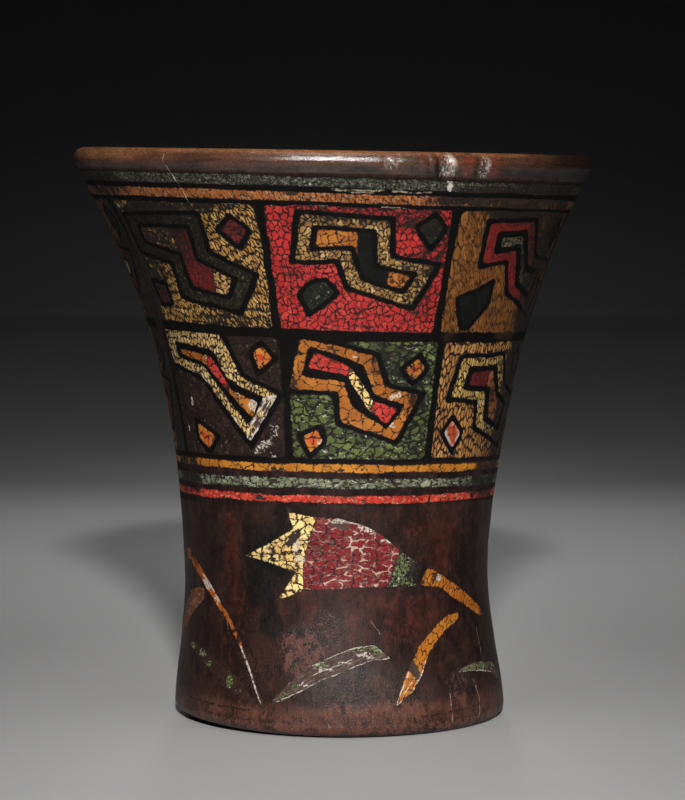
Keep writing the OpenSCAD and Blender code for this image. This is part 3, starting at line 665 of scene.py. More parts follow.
inlay_objects = {}
for node, members in nodes.items():
    styles = sorted({parts[i]["style"] for i in members})
    verts, tris, smooth, slots, flats = [], [], [], [], []
    attr = {"gap": [], "loss": [], "white_and_glint": [], "grime_and_shade": [], "keep": []}
    for i in members:
        mine = np.nonzero(label == i)[0]
        if not len(mine):
            continue
        ids = np.unique(T[mine])
        where = np.full(len(V), -1)
        where[ids] = np.arange(len(ids)) + len(verts)
        back = where + len(ids)
        verts.extend(place(VT[ids], VZ[ids], face_r[ids]).tolist())
        verts.extend(place(VT[ids], VZ[ids], wall_r[ids] - INLAY + 0.02).tolist())
        for name, values in (("gap", gap), ("loss", loss_at), ("white_and_glint", white_and_glint_at), ("grime_and_shade", grime_and_shade_at), ("keep", keep_at)):
            attr[name].extend(values[ids].tolist() * 2)
        seed = parts[i]["seed"]
        size = float(np.mean(radius(VZ[ids]))) * DEG
        shift = np.array([(seed * 37.7) % 211, (seed * 23.3) % 173, seed % 97])

        def flat_of(t, z):
            return np.stack([t * size + shift[0], z + shift[1], np.full(np.shape(t), shift[2])], -1)

        top = where[T[mine]]
        tris.extend(top.tolist())
        flats.extend(flat_of(corner_t[mine], corner_z[mine]).reshape(-1, 3).tolist())
        smooth.extend([True] * len(mine))
        tris.extend(back[T[mine]][:, ::-1].tolist())
        flats.extend(flat_of(corner_t[mine][:, ::-1], corner_z[mine][:, ::-1]).reshape(-1, 3).tolist())
        smooth.extend([False] * len(mine))
        e = B_edge[B_from == i]
        a, b = e[:, 0], e[:, 1]
        rim = np.unique(e)
        above = np.full(len(V), -1)
        above[rim] = np.arange(len(rim)) + len(verts)
        below = above + len(rim)
        verts.extend(place(VT[rim], VZ[rim], face_r[rim]).tolist())
        verts.extend(place(VT[rim], VZ[rim], wall_r[rim] - INLAY + 0.02).tolist())
        for name, values in (("gap", gap), ("loss", loss_at), ("white_and_glint", white_and_glint_at), ("grime_and_shade", grime_and_shade_at), ("keep", keep_at)):
            attr[name].extend(values[rim].tolist() * 2)
        side = np.concatenate([np.stack([above[a], below[a], below[b]], 1), np.stack([above[a], below[b], above[b]], 1)])
        tris.extend(side.tolist())
        ts = np.concatenate([np.stack([VT[a], VT[a], VT[a]], 1), np.stack([VT[a], VT[a], VT[a]], 1)])
        zs = np.concatenate([np.stack([VZ[a], VZ[a], VZ[b]], 1), np.stack([VZ[a], VZ[b], VZ[b]], 1)])
        flats.extend(flat_of(ts, zs).reshape(-1, 3).tolist())
        smooth.extend([False] * len(side))
        slots.extend([styles.index(parts[i]["style"])] * (2 * len(mine) + len(side)))
    ob = new_mesh("inlay_" + node, verts, tris, smooth, slots)
    give(ob, "flat", flats, "FLOAT_VECTOR", "CORNER")
    for name, values in attr.items():
        give(ob, name, values)
    inlay_objects[node] = (ob, styles)

# --- the wooden cup: outer wall with its recesses, lip, hollow, foot and base
panel_zone = ease(VZ, 86.5, 88.5) * (1 - ease(VZ + 2.4 * sind(VT), 169.5, 171.5))
sink = (0.02 * panel_zone + 0.01) * (1 - ease(gap, 0.5, 1.8))
# flaked, scuffed and scratched places in bare wood
SCUFF = [(8, 14, 16, 8, 0.5), (22, 12, 10, 8, 0.45), (-12, 27, 9, 10, 0.9), (-4, 33, 6, 7, 0.6), (47, 14, 6, 7, 0.6), (-30, 20, 8, 8, 0.35), (28, 62, 8, 4, 0.3), (40, 60, 10, 8, 0.2)]
scuff_at = spots(VT, VZ, SCUFF, 83)
wood_r = wall_r - sink - 0.10 * scuff_at * np.clip(around(VT, VZ, 190, 2.4, 34) + 0.4 * around(VT, VZ, 330, 1.3, 35), 0, 1)

wv, wt, ws = [], [], []            # vertices, triangles, smooth
w_theta, w_z, w_kind, w_gap = [], [], [], []   # kind: 0 wall, 1 recess, 2 lip, 3 hollow, 4 foot and base


def add_wood(theta, z, r, kind, g=99.0):
    first = len(wv)
    theta, z, r = np.broadcast_arrays(np.asarray(theta, float), z, r)
    wv.extend(place(theta, z, r).tolist())
    w_theta.extend(theta.tolist())
    w_z.extend(np.asarray(z, float).tolist())
    w_kind.extend([kind] * len(theta))
    w_gap.extend(np.broadcast_to(g, theta.shape).tolist())
    return np.arange(first, first + len(theta))


bare, cut = label < 0, label >= 0
ids = np.unique(T[bare])
w_top = np.full(len(V), -1)
w_top[ids] = add_wood(VT[ids], VZ[ids], wood_r[ids], 0, gap[ids])
wt.extend(w_top[T[bare]].tolist())
ws.extend([True] * int(bare.sum()))
ids = np.unique(T[cut])
w_floor = np.full(len(V), -1)
w_floor[ids] = add_wood(VT[ids], VZ[ids], wall_r[ids] - INLAY, 1, 0.0)
wt.extend(w_floor[T[cut]].tolist())
ws.extend([False] * int(cut.sum()))
e = B_edge[B_from == -1]
a, b = e[:, 0], e[:, 1]
rim = np.unique(e)
w_side = np.full(len(V), -1)
w_side[rim] = add_wood(VT[rim], VZ[rim], wood_r[rim], 1, 0.0)
side = np.concatenate([np.stack([w_side[a], w_floor[a], w_floor[b]], 1), np.stack([w_side[a], w_floor[b], w_side[b]], 1)])
wt.extend(side.tolist())
ws.extend([False] * len(side))


def bridge(ring_a, ta, ring_b, tb):
    """Triangles between two closed rings that start at about the same angle."""
    na, nb = len(ring_a), len(ring_b)
    ta, tb = np.append(ta, ta[0] + 360), np.append(tb, tb[0] + 360)
    i = j = 0
    while i < na or j < nb:
        if j >= nb or (i < na and ta[i + 1] <= tb[j + 1]):
            wt.append([ring_a[i], ring_a[(i + 1) % na], ring_b[j % nb]])
            i += 1
        else:
            wt.append([ring_a[i % na], ring_b[(j + 1) % nb], ring_b[j]])
            j += 1
        ws.append(True)


def ring_of(theta, height):
    """The net's own border vertices, in order around the cup."""
    near = np.unique(T)
    near = near[(VZ[near] > np.min(height) - 0.2) & (VZ[near] < np.max(height) + 0.2)]
    return np.array([w_top[near[np.argmin(np.abs(VT[near] - t) + np.abs(VZ[near] - z))]] for t, z in zip(theta, height)])


tt, tb_ = t_top[:-1], t_bot[:-1]
ring = ring_of(tt, z_top[:-1])
# lip: a rounded bead, worn notches at its front right, rounded over to the hollow
LIP = [(6.2, 0.02), (5.4, 0.14), (4.6, 0.28), (3.8, 0.34), (3.1, 0.30), (2.4, 0.14), (1.8, -0.12), (1.25, -0.5), (0.8, -0.98),
       (0.42, -1.6), (0.15, -2.4), (0.02, -3.4), (0.0, -4.4), (0.06, -5.3), (0.28, -6.0), (0.7, -6.6), (1.4, -7.05), (2.4, -7.3)]
for w, dr in LIP:
    z = rim_z(tt) - w
    edge = radius(rim_z(tt) - np.maximum(w, 3.6))
    r = edge + dr + ripple(tt, z) - dents(tt, w) * (1 if dr > -5 else 0.2) + 0.05 * around(tt, w, 90, 3, 37)
    nxt = add_wood(tt, z, r, 2)
    bridge(ring, tt, nxt, tt)
    ring = nxt
# hollow: wall of even thickness with the marks of the tool, round corner, flat floor
N_IN = 240
ti = SEAM + 360 * np.arange(N_IN) / N_IN
last_t = tt
levels = [(rim_z(ti) - d) for d in (5, 9)]
levels += [np.full(N_IN, h) for h in np.arange(173, 38, -4.5)]
for z in levels:
    r = radius(z) - 7.5 + 0.14 * around(ti, z, 60, 11, 38) + 0.06 * around(ti, z, 120, 4, 39)
    nxt = add_wood(ti, z, r, 3)
    bridge(ring, last_t, nxt, ti)
    ring, last_t = nxt, ti
hollow_r = float(radius(36)) - 7.5
for a in range(84, -1, -12):
    z = np.full(N_IN, 36 - 14 * math.cos(a * DEG)) + 0.10 * around(ti, a, 40, 30, 38)
    r = hollow_r - 14 + 14 * math.sin(a * DEG) + 0.0 * ti
    nxt = add_wood(ti, z, r, 3)
    bridge(ring, ti, nxt, ti)
    ring = nxt
for r in (24, 18, 12, 7, 3):
    nxt = add_wood(ti, 22 + 0.10 * around(ti, r, 24, 6, 39), np.full(N_IN, float(r)), 3)
    bridge(ring, ti, nxt, ti)
    ring = nxt
tip = add_wood([0.0], [22.0], [0.0], 3)[0]
for i in range(N_IN):
    wt.append([ring[i], ring[(i + 1) % N_IN], tip])
    ws.append(True)
# foot: a rounded edge, more worn on the left, then the flat base
ring = ring_of(tb_, np.full(N_BOTTOM, BOTTOM))
worn = (0.5 - 0.5 * sind(tb_ + 12)) ** 0.8 * (1 - 0.3 * np.exp(-(tb_ / 48) ** 2))
FOOT = [(3.6, 0.0, 4.2, 0.05), (2.7, 0.08, 3.5, 0.25), (2.0, 0.2, 2.9, 0.6), (1.35, 0.42, 2.4, 1.1), (0.8, 0.75, 2.0, 1.9), (0.35, 1.2, 1.6, 3.2), (0.1, 1.75, 1.1, 5.2), (0.0, 2.4, 0.5, 7.6), (0.0, 4.0, 0.0, 9.4)]
rings = []
for z0, d0, z1, d1 in FOOT:
    rr = radius(np.full(N_BOTTOM, BOTTOM)) + ripple(tb_, np.full(N_BOTTOM, BOTTOM)) * ease(z0, 0, 3) + 0.05 - d0 - (d1 - d0) * worn
    rings.append(add_wood(tb_, z0 + (z1 - z0) * worn, rr, 4))
for r in (44, 34, 24, 14, 6):
    rings.append(add_wood(tb_, 0.35 * ease(r, 46, 38) + 0.0 * tb_, np.full(N_BOTTOM, float(r)), 4))
up = [ring] + rings
for lower, upper in zip(up[1:], up[:-1]):
    bridge(lower, tb_, upper, tb_)
tip = add_wood([0.0], [0.35], [0.0], 4)[0]
for i in range(N_BOTTOM):
    wt.append([up[-1][(i + 1) % N_BOTTOM], up[-1][i], tip])
    ws.append(True)

cup = new_mesh("wooden_cup_carved", wv, wt, ws)
w_theta, w_z, w_kind, w_gap = (np.array(x) for x in (w_theta, w_z, w_kind, w_gap))
print("triangles: cup", len(wt), "net", len(T), "labelled parts", len(np.unique(label)) - 1, "of", len(parts))


# ---------------------------------------------------------------- the tone of the bare wood, with painted light and shade in places
def toned(c, colour, mask):
    return c * (1 - mask[:, None]) + np.array(linear(*colour))[None] * mask[:, None]


def zone(places, seed):
    return spots(w_theta, w_z, places, seed)


wall = (w_kind == 0) | (w_kind == 1)
tone = np.tile(linear(46, 28, 23), (len(w_z), 1))
slant_z = w_z + 2.4 * sind(w_theta)
tone = toned(tone, (55, 30, 24), zone([(12, 38, 30, 9, 1), (5, 44, 22, 4, 0.8), (-10, 33, 12, 8, 0.7)], 101))
tone = toned(tone, (58, 29, 20), zone([(42, 60, 7, 11, 0.9), (-41, 58, 2.4, 15, 1), (-40, 42, 3.2, 6, 0.7), (30, 66, 5, 5, 0.6), (12, 71, 4, 2, 0.5)], 102))
# painted shade: the bare wood darker on the left and right sides of the cup
tone = toned(tone, (32, 21, 18), zone([(58, 50, 8, 22, 0.9), (-54, 58, 7, 18, 0.9), (66, 30, 8, 14, 0.8), (-62, 30, 8, 14, 0.7), (48, 34, 6, 12, 0.5)], 103))
tone = toned(tone, (23, 20, 19), zone([(-25, 58, 9, 12, 1), (-17, 70, 8, 4, 0.7), (-28, 47, 6, 8, 0.9), (-24, 36, 4, 7, 0.9), (-33, 62, 3, 10, 0.6), (34, 51, 2.4, 4.5, 1), (29, 46, 6, 1.6, 0.6)], 104))
# scuffed wood low on the front, greyed and lightened as a painted sheen
tone = toned(tone, (52, 41, 37), zone([(8, 16, 22, 9, 0.8), (22, 14, 16, 8, 0.6), (-12, 26, 8, 9, 0.5), (47, 15, 8, 9, 0.6)], 105))
foot_ring = ease(w_z + 0.8 * around(w_theta, w_z, 70, 6, 106), 12.5, 8.0) * (w_kind != 3)
# a worn, redder ring at the foot; its fall-off from the front towards the sides and back is painted light
tone = toned(tone, (86, 55, 43), 0.85 * foot_ring * (0.55 + 0.45 * cosd(w_theta)))
tone = toned(tone, (58, 50, 44), 0.6 * ease(w_z, 4.2, 1.8) * (w_kind != 3))
band_gap = ease(w_z - 2 * cosd(w_theta), 70.5, 73) * ease(w_z, 90, 87) * wall
tone = toned(tone, (38, 27, 26), 0.9 * band_gap)
lines = ease(w_z, 86.0, 88.2) * ease(slant_z, 179.5, 176.5) * wall
tone = toned(tone, (11, 10, 9), 0.98 * lines)
tone = toned(tone, (52, 36, 28), 0.8 * lines * zone([(60, 128, 8, 2.4, 1), (34, 128, 3, 2, 0.6), (-66, 140, 4, 22, 0.8), (70, 150, 4, 20, 0.6), (-64, 120, 3, 9, 0.4)], 107))
lip = (ease(slant_z, 177.8, 179.6) * wall + (w_kind == 2)).clip(0, 1)
under = rim_z(w_theta) - w_z
round_back = ease(np.abs((w_theta + 180) % 360 - 180), 165, 115)
side_shade = ease(w_theta, 35, 62) * round_back
tone = toned(tone, (76, 50, 37), lip)
tone = toned(tone, (54, 37, 30), 0.7 * lip * zone([(-31, 181, 8, 5, 1), (-17, 179, 7, 3, 0.8), (8, 179, 7, 3, 0.7), (16, 181, 3, 5, 0.7), (-48, 179.5, 6, 3, 0.6)], 116))
stain = ease(under + 1.7 * around(w_theta, w_z, 60, 5, 108) + 0.8 * around(w_theta, w_z, 160, 2, 109), 4.4, 6.6)
tone = toned(tone, (30, 24, 20), 0.92 * lip * stain)
tone = toned(tone, (62, 60, 44), 0.6 * lip * stain * ease(around(w_theta, w_z, 120, 4, 110), 0.1, 0.7))
# painted light: the lip's top edge lighter across the front, and its left end lighter
tone = toned(tone, (132, 90, 58), 0.85 * lip * ease(under, 1.7, 0.4) * ease(w_theta, 62, 45) * round_back)
tone = toned(tone, (120, 86, 58), 0.85 * lip * ease(under, 6.0, 2.0) * ease(w_theta, -38, -56) * round_back)
# painted shade: the right end of the lip darkened
tone = toned(tone, (28, 20, 16), 0.85 * lip * side_shade)
tone = toned(tone, (104, 50, 38), 0.6 * lip * zone([(29, 181, 2.6, 4, 1), (36, 181, 2.4, 3.4, 0.8)], 112))
# painted highlights: pale glints on the lip's worn notches
tone = toned(tone, (176, 160, 150), 0.6 * lip * zone([(25.2, 181.4, 1.6, 3.4, 1), (24.8, 176.4, 1.3, 3.0, 0.7), (34.0, 181.6, 0.7, 2.6, 0.7), (10.8, 181.4, 0.7, 1.6, 0.6), (13.0, 181.2, 0.6, 1.4, 0.6)], 113))
# painted shade: dark lines on the notches' left walls
tone = toned(tone, (18, 13, 11), 0.9 * lip * zone([(21.6, 179.6, 0.7, 4.6, 1), (22.6, 176.0, 0.5, 3.0, 0.9), (31.0, 180.6, 0.6, 3.2, 0.8), (19.4, 181.8, 0.4, 2.4, 0.6)], 114))
# where the lip is glossier, and where painted glints are laid on it
gloss_and_glint = zone([(24.6, 180.0, 2.4, 5, 1), (33.2, 180.5, 1.8, 4, 0.8), (11.8, 181.2, 1.8, 2.2, 0.8)], 113)
inner = w_kind == 3
tone = toned(tone, (72, 45, 33), 1.0 * inner)
# painted shade: the hollow darker towards its floor
tone = toned(tone, (48, 32, 26), 0.8 * inner * ease(w_z, 110, 40))
tone = toned(tone, (64, 47, 38), (w_kind == 4) * ease(w_z, 1.2, 0.2) * 0.9)
# painted shade: the underside of the foot's edge near black
outside = np.hypot(np.array(wv)[:, 0], np.array(wv)[:, 1]) > 46.5
tone = toned(tone, (16, 12, 11), 0.9 * (w_kind == 4) * outside * ease(w_z, 1.5, 0.8))
give(cup, "gloss_and_glint", gloss_and_glint)
give(cup, "tone", np.concatenate([tone, np.ones((len(tone), 1))], 1), "FLOAT_COLOR")
give(cup, "lines", lines * (w_kind == 0))
give(cup, "scuff", zone(SCUFF, 83) * (w_kind == 0) + 0.5 * foot_ring * (w_kind != 3) + 0.35 * (w_kind == 4))
give(cup, "lip", lip)
give(cup, "gap", w_gap)


# ---------------------------------------------------------------- materials
class Net:
    """A small helper that builds a node material."""

    def __init__(self, name):
        self.mat = bpy.data.materials.new(name)
        self.mat.use_nodes = True
        self.tree = self.mat.node_tree
        self.tree.nodes.clear()
        self.bsdf = self.node("ShaderNodeBsdfPrincipled")
        out = self.node("ShaderNodeOutputMaterial")
        self.tree.links.new(self.bsdf.outputs[0], out.inputs[0])

    def node(self, kind, **settings):
        n = self.tree.nodes.new(kind)
        for k, v in settings.items():
            setattr(n, k, v)
        return n

    def put(self, socket, value):
        if isinstance(value, bpy.types.NodeSocket):
            self.tree.links.new(value, socket)
        elif isinstance(value, (tuple, list, np.ndarray)):
            value = [float(x) for x in value]
            socket.default_value = value + [1.0] * (len(socket.default_value) - len(value))
        else:
            socket.default_value = value

    def math(self, op, a, b=0.0, c=0.0, clamp=False):
        n = self.node("ShaderNodeMath", operation=op, use_clamp=clamp)
        for s, v in zip(n.inputs, (a, b, c)):
            self.put(s, v)
        return n.outputs[0]

    def vec(self, op, a, b=None, scale=None, out="Vector"):
        n = self.node("ShaderNodeVectorMath", operation=op)
        self.put(n.inputs[0], a)
        if b is not None:
            self.put(n.inputs[1], b)
        if scale is not None:
            self.put(n.inputs["Scale"], scale)
        return n.outputs[out]

    def attr(self, name, what="Fac"):
        return self.node("ShaderNodeAttribute", attribute_name=name).outputs[what]

    def noise(self, vec, scale, detail=2.0, rough=0.5, what=0):
        n = self.node("ShaderNodeTexNoise")
        self.put(n.inputs["Vector"], vec)
        n.inputs["Scale"].default_value = scale
        n.inputs["Detail"].default_value = detail
        n.inputs["Roughness"].default_value = rough
        return n.outputs[what]

    def cells(self, vec, feature, what, randomness=1.0):
        n = self.node("ShaderNodeTexVoronoi", voronoi_dimensions="2D", feature=feature)
        self.put(n.inputs["Vector"], vec)
        n.inputs["Scale"].default_value = 1.0
        n.inputs["Randomness"].default_value = randomness
        return n.outputs[what]

    def step(self, v, a, b, lo=0.0, hi=1.0):
        n = self.node("ShaderNodeMapRange", interpolation_type="SMOOTHSTEP", clamp=True)
        self.put(n.inputs["Value"], v)
        for name, x in (("From Min", a), ("From Max", b), ("To Min", lo), ("To Max", hi)):
            self.put(n.inputs[name], x)
        return n.outputs["Result"]

    def mix(self, fac, a, b, mode="MIX"):
        n = self.node("ShaderNodeMix", data_type="RGBA", blend_type=mode, clamp_factor=True)
        self.put(n.inputs["Factor"], fac)
        self.put(n.inputs[6], a)
        self.put(n.inputs[7], b)
        return n.outputs[2]

    def bump(self, height, distance, strength=1.0, normal=None):
        n = self.node("ShaderNodeBump")
        n.inputs["Strength"].default_value = strength
        n.inputs["Distance"].default_value = distance
        self.put(n.inputs["Height"], height)
        if normal is not None:
            self.put(n.inputs["Normal"], normal)
        return n.outputs[0]

    def split_colour(self, colour):
        n = self.node("ShaderNodeSeparateColor")
        self.put(n.inputs[0], colour)
        return n.outputs

    def split(self, vec):
        n = self.node("ShaderNodeSeparateXYZ")
        self.put(n.inputs[0], vec)
        return n.outputs

    def hash(self, a, b):
        """A random number and a random colour for each pair of whole numbers."""
        n = self.node("ShaderNodeTexWhiteNoise", noise_dimensions="2D")
        c = self.node("ShaderNodeCombineXYZ")
        self.put(c.inputs[0], a)
        self.put(c.inputs[1], b)
        self.put(n.inputs["Vector"], c.outputs[0])
        return n.outputs["Value"], n.outputs["Color"]

    def mixv(self, fac, a, b):
        n = self.node("ShaderNodeMix", data_type="FLOAT", clamp_factor=True)
        self.put(n.inputs[0], fac)
        self.put(n.inputs[2], a)
        self.put(n.inputs[3], b)
        return n.outputs[0]


def marks(n, mm, runs, per_degree, stray=0.5):
    """Thin lines on the surface: each run is a half width, then angle and height of its points."""
    x, y, z = n.split(mm)
    theta = n.math("MULTIPLY", n.math("ARCTAN2", x, n.math("MULTIPLY", y, -1.0)), per_degree / DEG)
    p = n.node("ShaderNodeCombineXYZ")
    n.put(p.inputs[0], theta)
    n.put(p.inputs[1], z)
    wob = n.vec("SCALE", n.vec("SUBTRACT", n.noise(mm, 0.5, 3, 0.6, 1), (0.5, 0.5, 0.5)), scale=stray * 2)
    p = n.vec("ADD", p.outputs[0], n.vec("MULTIPLY", wob, (1, 1, 0)))
    thick = n.step(n.noise(mm, 0.7, 3, 0.6), 0.36, 0.58, 0.0, 1.0)
    total = None
    for run in runs:
        half, pts = run[0], run[1:]
        for (a1, z1), (a2, z2) in zip(pts[:-1], pts[1:]):
            a = np.array([a1 * per_degree, z1, 0])
            d = np.array([a2 * per_degree, z2, 0]) - a
            q = n.vec("SUBTRACT", p, a)
            t = n.math("MULTIPLY", n.vec("DOT_PRODUCT", q, d, out="Value"), 1 / float(d @ d), clamp=True)
            off = n.vec("LENGTH", n.vec("SUBTRACT", q, n.vec("SCALE", tuple(d), scale=t)), out="Value")
            m = n.math("SUBTRACT", 1.0, n.step(off, half * 0.3, half))
            total = m if total is None else n.math("MAXIMUM", total, m)
    return n.math("MULTIPLY", total, thick)


def resin(name, main, deep, pale, crack=(20, 15, 12), cell=(2.0, 2.0), slant=0.0, turn=0.0, width=0.42, cracks=1.0,
          second=None, second_colour=None, vary=0.6, per_cell=0.5, fleck=(200, 190, 165), flecks=0.0, fleck_size=(1.2, 0.5),
          scratch=0.0, scratch_colour=(214, 200, 184), scratch_size=(4.0, 0.7), pale_crack=None, grime_and_shade=(21, 17, 14), dirt=0.25,
          chips=0.6, loss=(30, 24, 21), rough=0.5, spec=0.25, wander=1.0, relief=1.0, keep=False, rim_line=0.0, runs=None,
          per_degree=1.0, heart=None, pale_at=0.5, rub=((40, 28, 24), (62, 41, 34)), rim=0.65, where=None, soil_and_shade=(34, 25, 21), smears=0.0):
    """Coloured resin: uneven colour, a net of cracks, flecks that are partly painted glints, chipped edges, dirt with
    painted side shade, and places where it is lost.
    """
    n = Net("resin_" + name)
    flat = n.attr("flat", "Vector")

    def laid_over(lean_, turn_):
        if not (turn_ or lean_):
            return flat
        x, y, z = n.split(flat)
        c, s = math.cos(turn_ * DEG), math.sin(turn_ * DEG)
        out = n.node("ShaderNodeCombineXYZ")
        n.put(out.inputs[0], n.math("ADD", n.math("MULTIPLY", x, c), n.math("MULTIPLY", y, s + lean_)))
        n.put(out.inputs[1], n.math("ADD", n.math("MULTIPLY", x, -s), n.math("MULTIPLY", y, c)))
        n.put(out.inputs[2], z)
        return out.outputs[0]

    def warp(scale, amount):
        return n.vec("SCALE", n.vec("SUBTRACT", n.noise(flat, scale, 1, 0.5, 1), (0.5, 0.5, 0.5)), scale=amount * wander)

    bend = n.vec("ADD", warp(0.18, 3.6), n.vec("ADD", warp(0.85, 1.7), warp(2.6, 0.7)))
    bent = n.vec("ADD", laid_over(slant, turn), bend)
    patch = n.noise(flat, 0.16, 2)
    mid = n.noise(flat, 0.75, 3, 0.6)
    tiny = n.noise(flat, 3.0, 2, 0.6)
    soft = n.noise(flat, 0.42, 4, 0.65)
    # the dirt mask, which also carries painted shade on the left and right sides of the cup
    grime_and_shade_mask = n.attr("grime_and_shade")
    gap_ = n.attr("gap")
    here = None
    if where:
        ox, oy, oz = n.split(n.node("ShaderNodeTexCoord").outputs["Object"])
        angle = n.math("MULTIPLY", n.math("ARCTAN2", ox, n.math("MULTIPLY", oy, -1.0)), 1 / DEG)
        here = n.step(n.math("ADD", angle, n.math("MULTIPLY", n.math("SUBTRACT", soft, 0.5), 6.0)), where[0], where[1])

    def net_of(where, cx, cz, wide):
        """Distance to the nearest crack in mm, the mask of the cracks, and a random colour of each cell."""
        grid = n.vec("MULTIPLY", where, (1 / cx, 1 / cz, 1))
        d = n.math("MULTIPLY", n.cells(grid, "DISTANCE_TO_EDGE", "Distance", 0.9), math.sqrt(cx * cz))
        open_ = n.math("MULTIPLY", n.step(soft, 0.32, 0.68, 0.55, 1.55), n.math("ADD", n.math("MULTIPLY", grime_and_shade_mask, 0.9), 1.0))
        open_ = n.math("MULTIPLY", open_, wide / 2)
        m = n.math("SUBTRACT", 1.0, n.step(d, n.math("MULTIPLY", open_, 0.4), n.math("MULTIPLY", open_, 1.2)))
        return d, m, n.split_colour(n.cells(grid, "F1", "Color", 0.9))

    dist, line, tint = net_of(bent, cell[0], cell[1], width)
    line = n.math("MULTIPLY", line, n.step(mid, 0.28, 0.42, 0.45 * cracks, cracks))
    if here:
        line = n.math("MULTIPLY", line, n.math("SUBTRACT", 1.0, n.math("MULTIPLY", here, 0.6)))
    # colour of the resin
    col = n.mix(n.math("MULTIPLY", n.step(patch, 0.35, 0.68), vary), linear(*main), linear(*deep))
    col = n.mix(n.math("MULTIPLY", n.step(tint[0], 0.45, 1.0), per_cell), col, linear(*pale))
    col = n.mix(n.math("MULTIPLY", n.step(tint[1], 0.5, 1.0), per_cell), col, linear(*deep))
    col = n.mix(n.math("MULTIPLY", n.step(mid, 0.52, 0.8), 0.4 * vary), col, linear(*pale))
    col = n.mix(n.math("MULTIPLY", n.step(tiny, 0.52, 0.72), 0.4), col, linear(*deep))
    col = n.mix(n.math("MULTIPLY", n.step(tiny, 0.44, 0.28), 0.35), col, linear(*pale))
    if heart:
        inner_ = n.step(n.math("ADD", gap_, n.math("MULTIPLY", n.math("SUBTRACT", mid, 0.5), 1.6)), 1.2, 1.8)
        col = n.mix(n.math("MULTIPLY", inner_, 0.85), col, linear(*heart))
    if second:
        d2, m2, _t = net_of(n.vec("ADD", laid_over(second[2], turn), bend), second[0], second[1], second[3])
        col = n.mix(n.math("MULTIPLY", m2, n.math("MULTIPLY", here if here else n.step(patch, 0.38, 0.56), second[4])), col, linear(*(second_colour or crack)))
    crack_col = linear(*crack)
    if pale_crack:
        crack_col = n.mix(n.step(n.math("ADD", patch, n.math("MULTIPLY", n.math("SUBTRACT", soft, 0.5), 0.8)), pale_at - 0.05, pale_at + 0.05), linear(*crack), linear(*pale_crack))
    col = n.mix(line, col, crack_col)
    if scratch:
        sn = n.noise(n.vec("MULTIPLY", bent, (1 / scratch_size[0], 1 / scratch_size[1], 1)), 1.0, 3, 0.6)
        sm = n.math("SUBTRACT", 1.0, n.step(n.math("ABSOLUTE", n.math("SUBTRACT", sn, 0.5)), 0.008, 0.032))
        sm = n.math("MULTIPLY", sm, n.step(mid, 0.44, 0.60))
        col = n.mix(n.math("MULTIPLY", sm, scratch), col, linear(*scratch_colour))
    # painted glints: pale flecks, partly pale specks in the resin itself
    if flecks:
        fv = n.vec("MULTIPLY", bent, (1 / fleck_size[0], 1 / fleck_size[1], 1))
        fn = n.noise(fv, 1.0, 2, 0.55)
        fm = n.math("MULTIPLY", n.step(fn, 0.70 - 0.22 * flecks, 0.77 - 0.20 * flecks), n.step(soft, 0.36, 0.6, 0.1, 1.0))
        col = n.mix(n.math("MULTIPLY", fm, 0.85), col, linear(*fleck))
    # chipped edges, dirt and painted side shade by the cell, bare places
    soil_and_shade = n.mix(n.step(patch, 0.45, 0.62), linear(*grime_and_shade), linear(*soil_and_shade))
    bite = n.math("MULTIPLY", n.math("SUBTRACT", n.noise(flat, 0.95, 4, 0.68), 0.47), 4.6 * chips)
    near = n.math("SUBTRACT", 1.0, n.step(n.math("SUBTRACT", gap_, bite), 0.0, 0.22))
    if rim_line:
        edge = n.math("SUBTRACT", 1.0, n.step(gap_, rim * 0.45, rim))
        col = n.mix(n.math("MULTIPLY", edge, n.math("MULTIPLY", n.step(soft, 0.40, 0.56), rim_line)), col, linear(170, 160, 146))
    else:
        col = n.mix(n.math("MULTIPLY", near, 0.93), col, linear(*grime_and_shade))
    dirt_and_shade = n.math("ADD", grime_and_shade_mask, n.math("MULTIPLY", n.step(soft, 0.5, 0.74), dirt))
    cellwise = n.math("ADD", dirt_and_shade, n.math("ADD", n.math("MULTIPLY", n.math("SUBTRACT", tint[2], 0.5), 0.6), n.math("MULTIPLY", n.math("SUBTRACT", mid, 0.5), 1.6)))
    col = n.mix(n.math("MULTIPLY", n.step(cellwise, 0.5, 0.80), 0.90), col, soil_and_shade)
    col = n.mix(n.math("MULTIPLY", dirt_and_shade, 0.45, clamp=True), col, soil_and_shade)
    grit = n.math("MULTIPLY", n.step(n.noise(flat, 1.7, 4, 0.72), 0.58, 0.66), n.step(grime_and_shade_mask, 0.5, 1.1))
    col = n.mix(n.math("MULTIPLY", grit, 0.5), col, linear(108, 98, 82))
    ragged = n.math("MULTIPLY", n.math("SUBTRACT", n.noise(flat, 1.1, 4, 0.68), 0.5), 1.7)
    if keep:
        left = n.step(n.math("ADD", n.attr("keep"), ragged), 0.40, 0.52)
        worn_ = n.mix(n.step(mid, 0.35, 0.65), linear(*rub[0]), linear(*rub[1]))
        worn_ = n.mix(n.math("MULTIPLY", n.step(tiny, 0.60, 0.74), 0.3), worn_, linear(104, 88, 78))
        smear = n.noise(n.vec("MULTIPLY", laid_over(0.0, 22.0), (0.22, 1.1, 1)), 1.0, 4, 0.65)
        worn_ = n.mix(n.math("MULTIPLY", n.step(smear, 0.52, 0.68), smears), worn_, linear(138, 121, 108))
        col = n.mix(left, worn_, col)
    bare = n.step(n.math("ADD", n.attr("loss"), ragged), 0.44, 0.54)
    col = n.mix(bare, col, n.mix(tiny, linear(*loss), linear(58, 43, 36)))
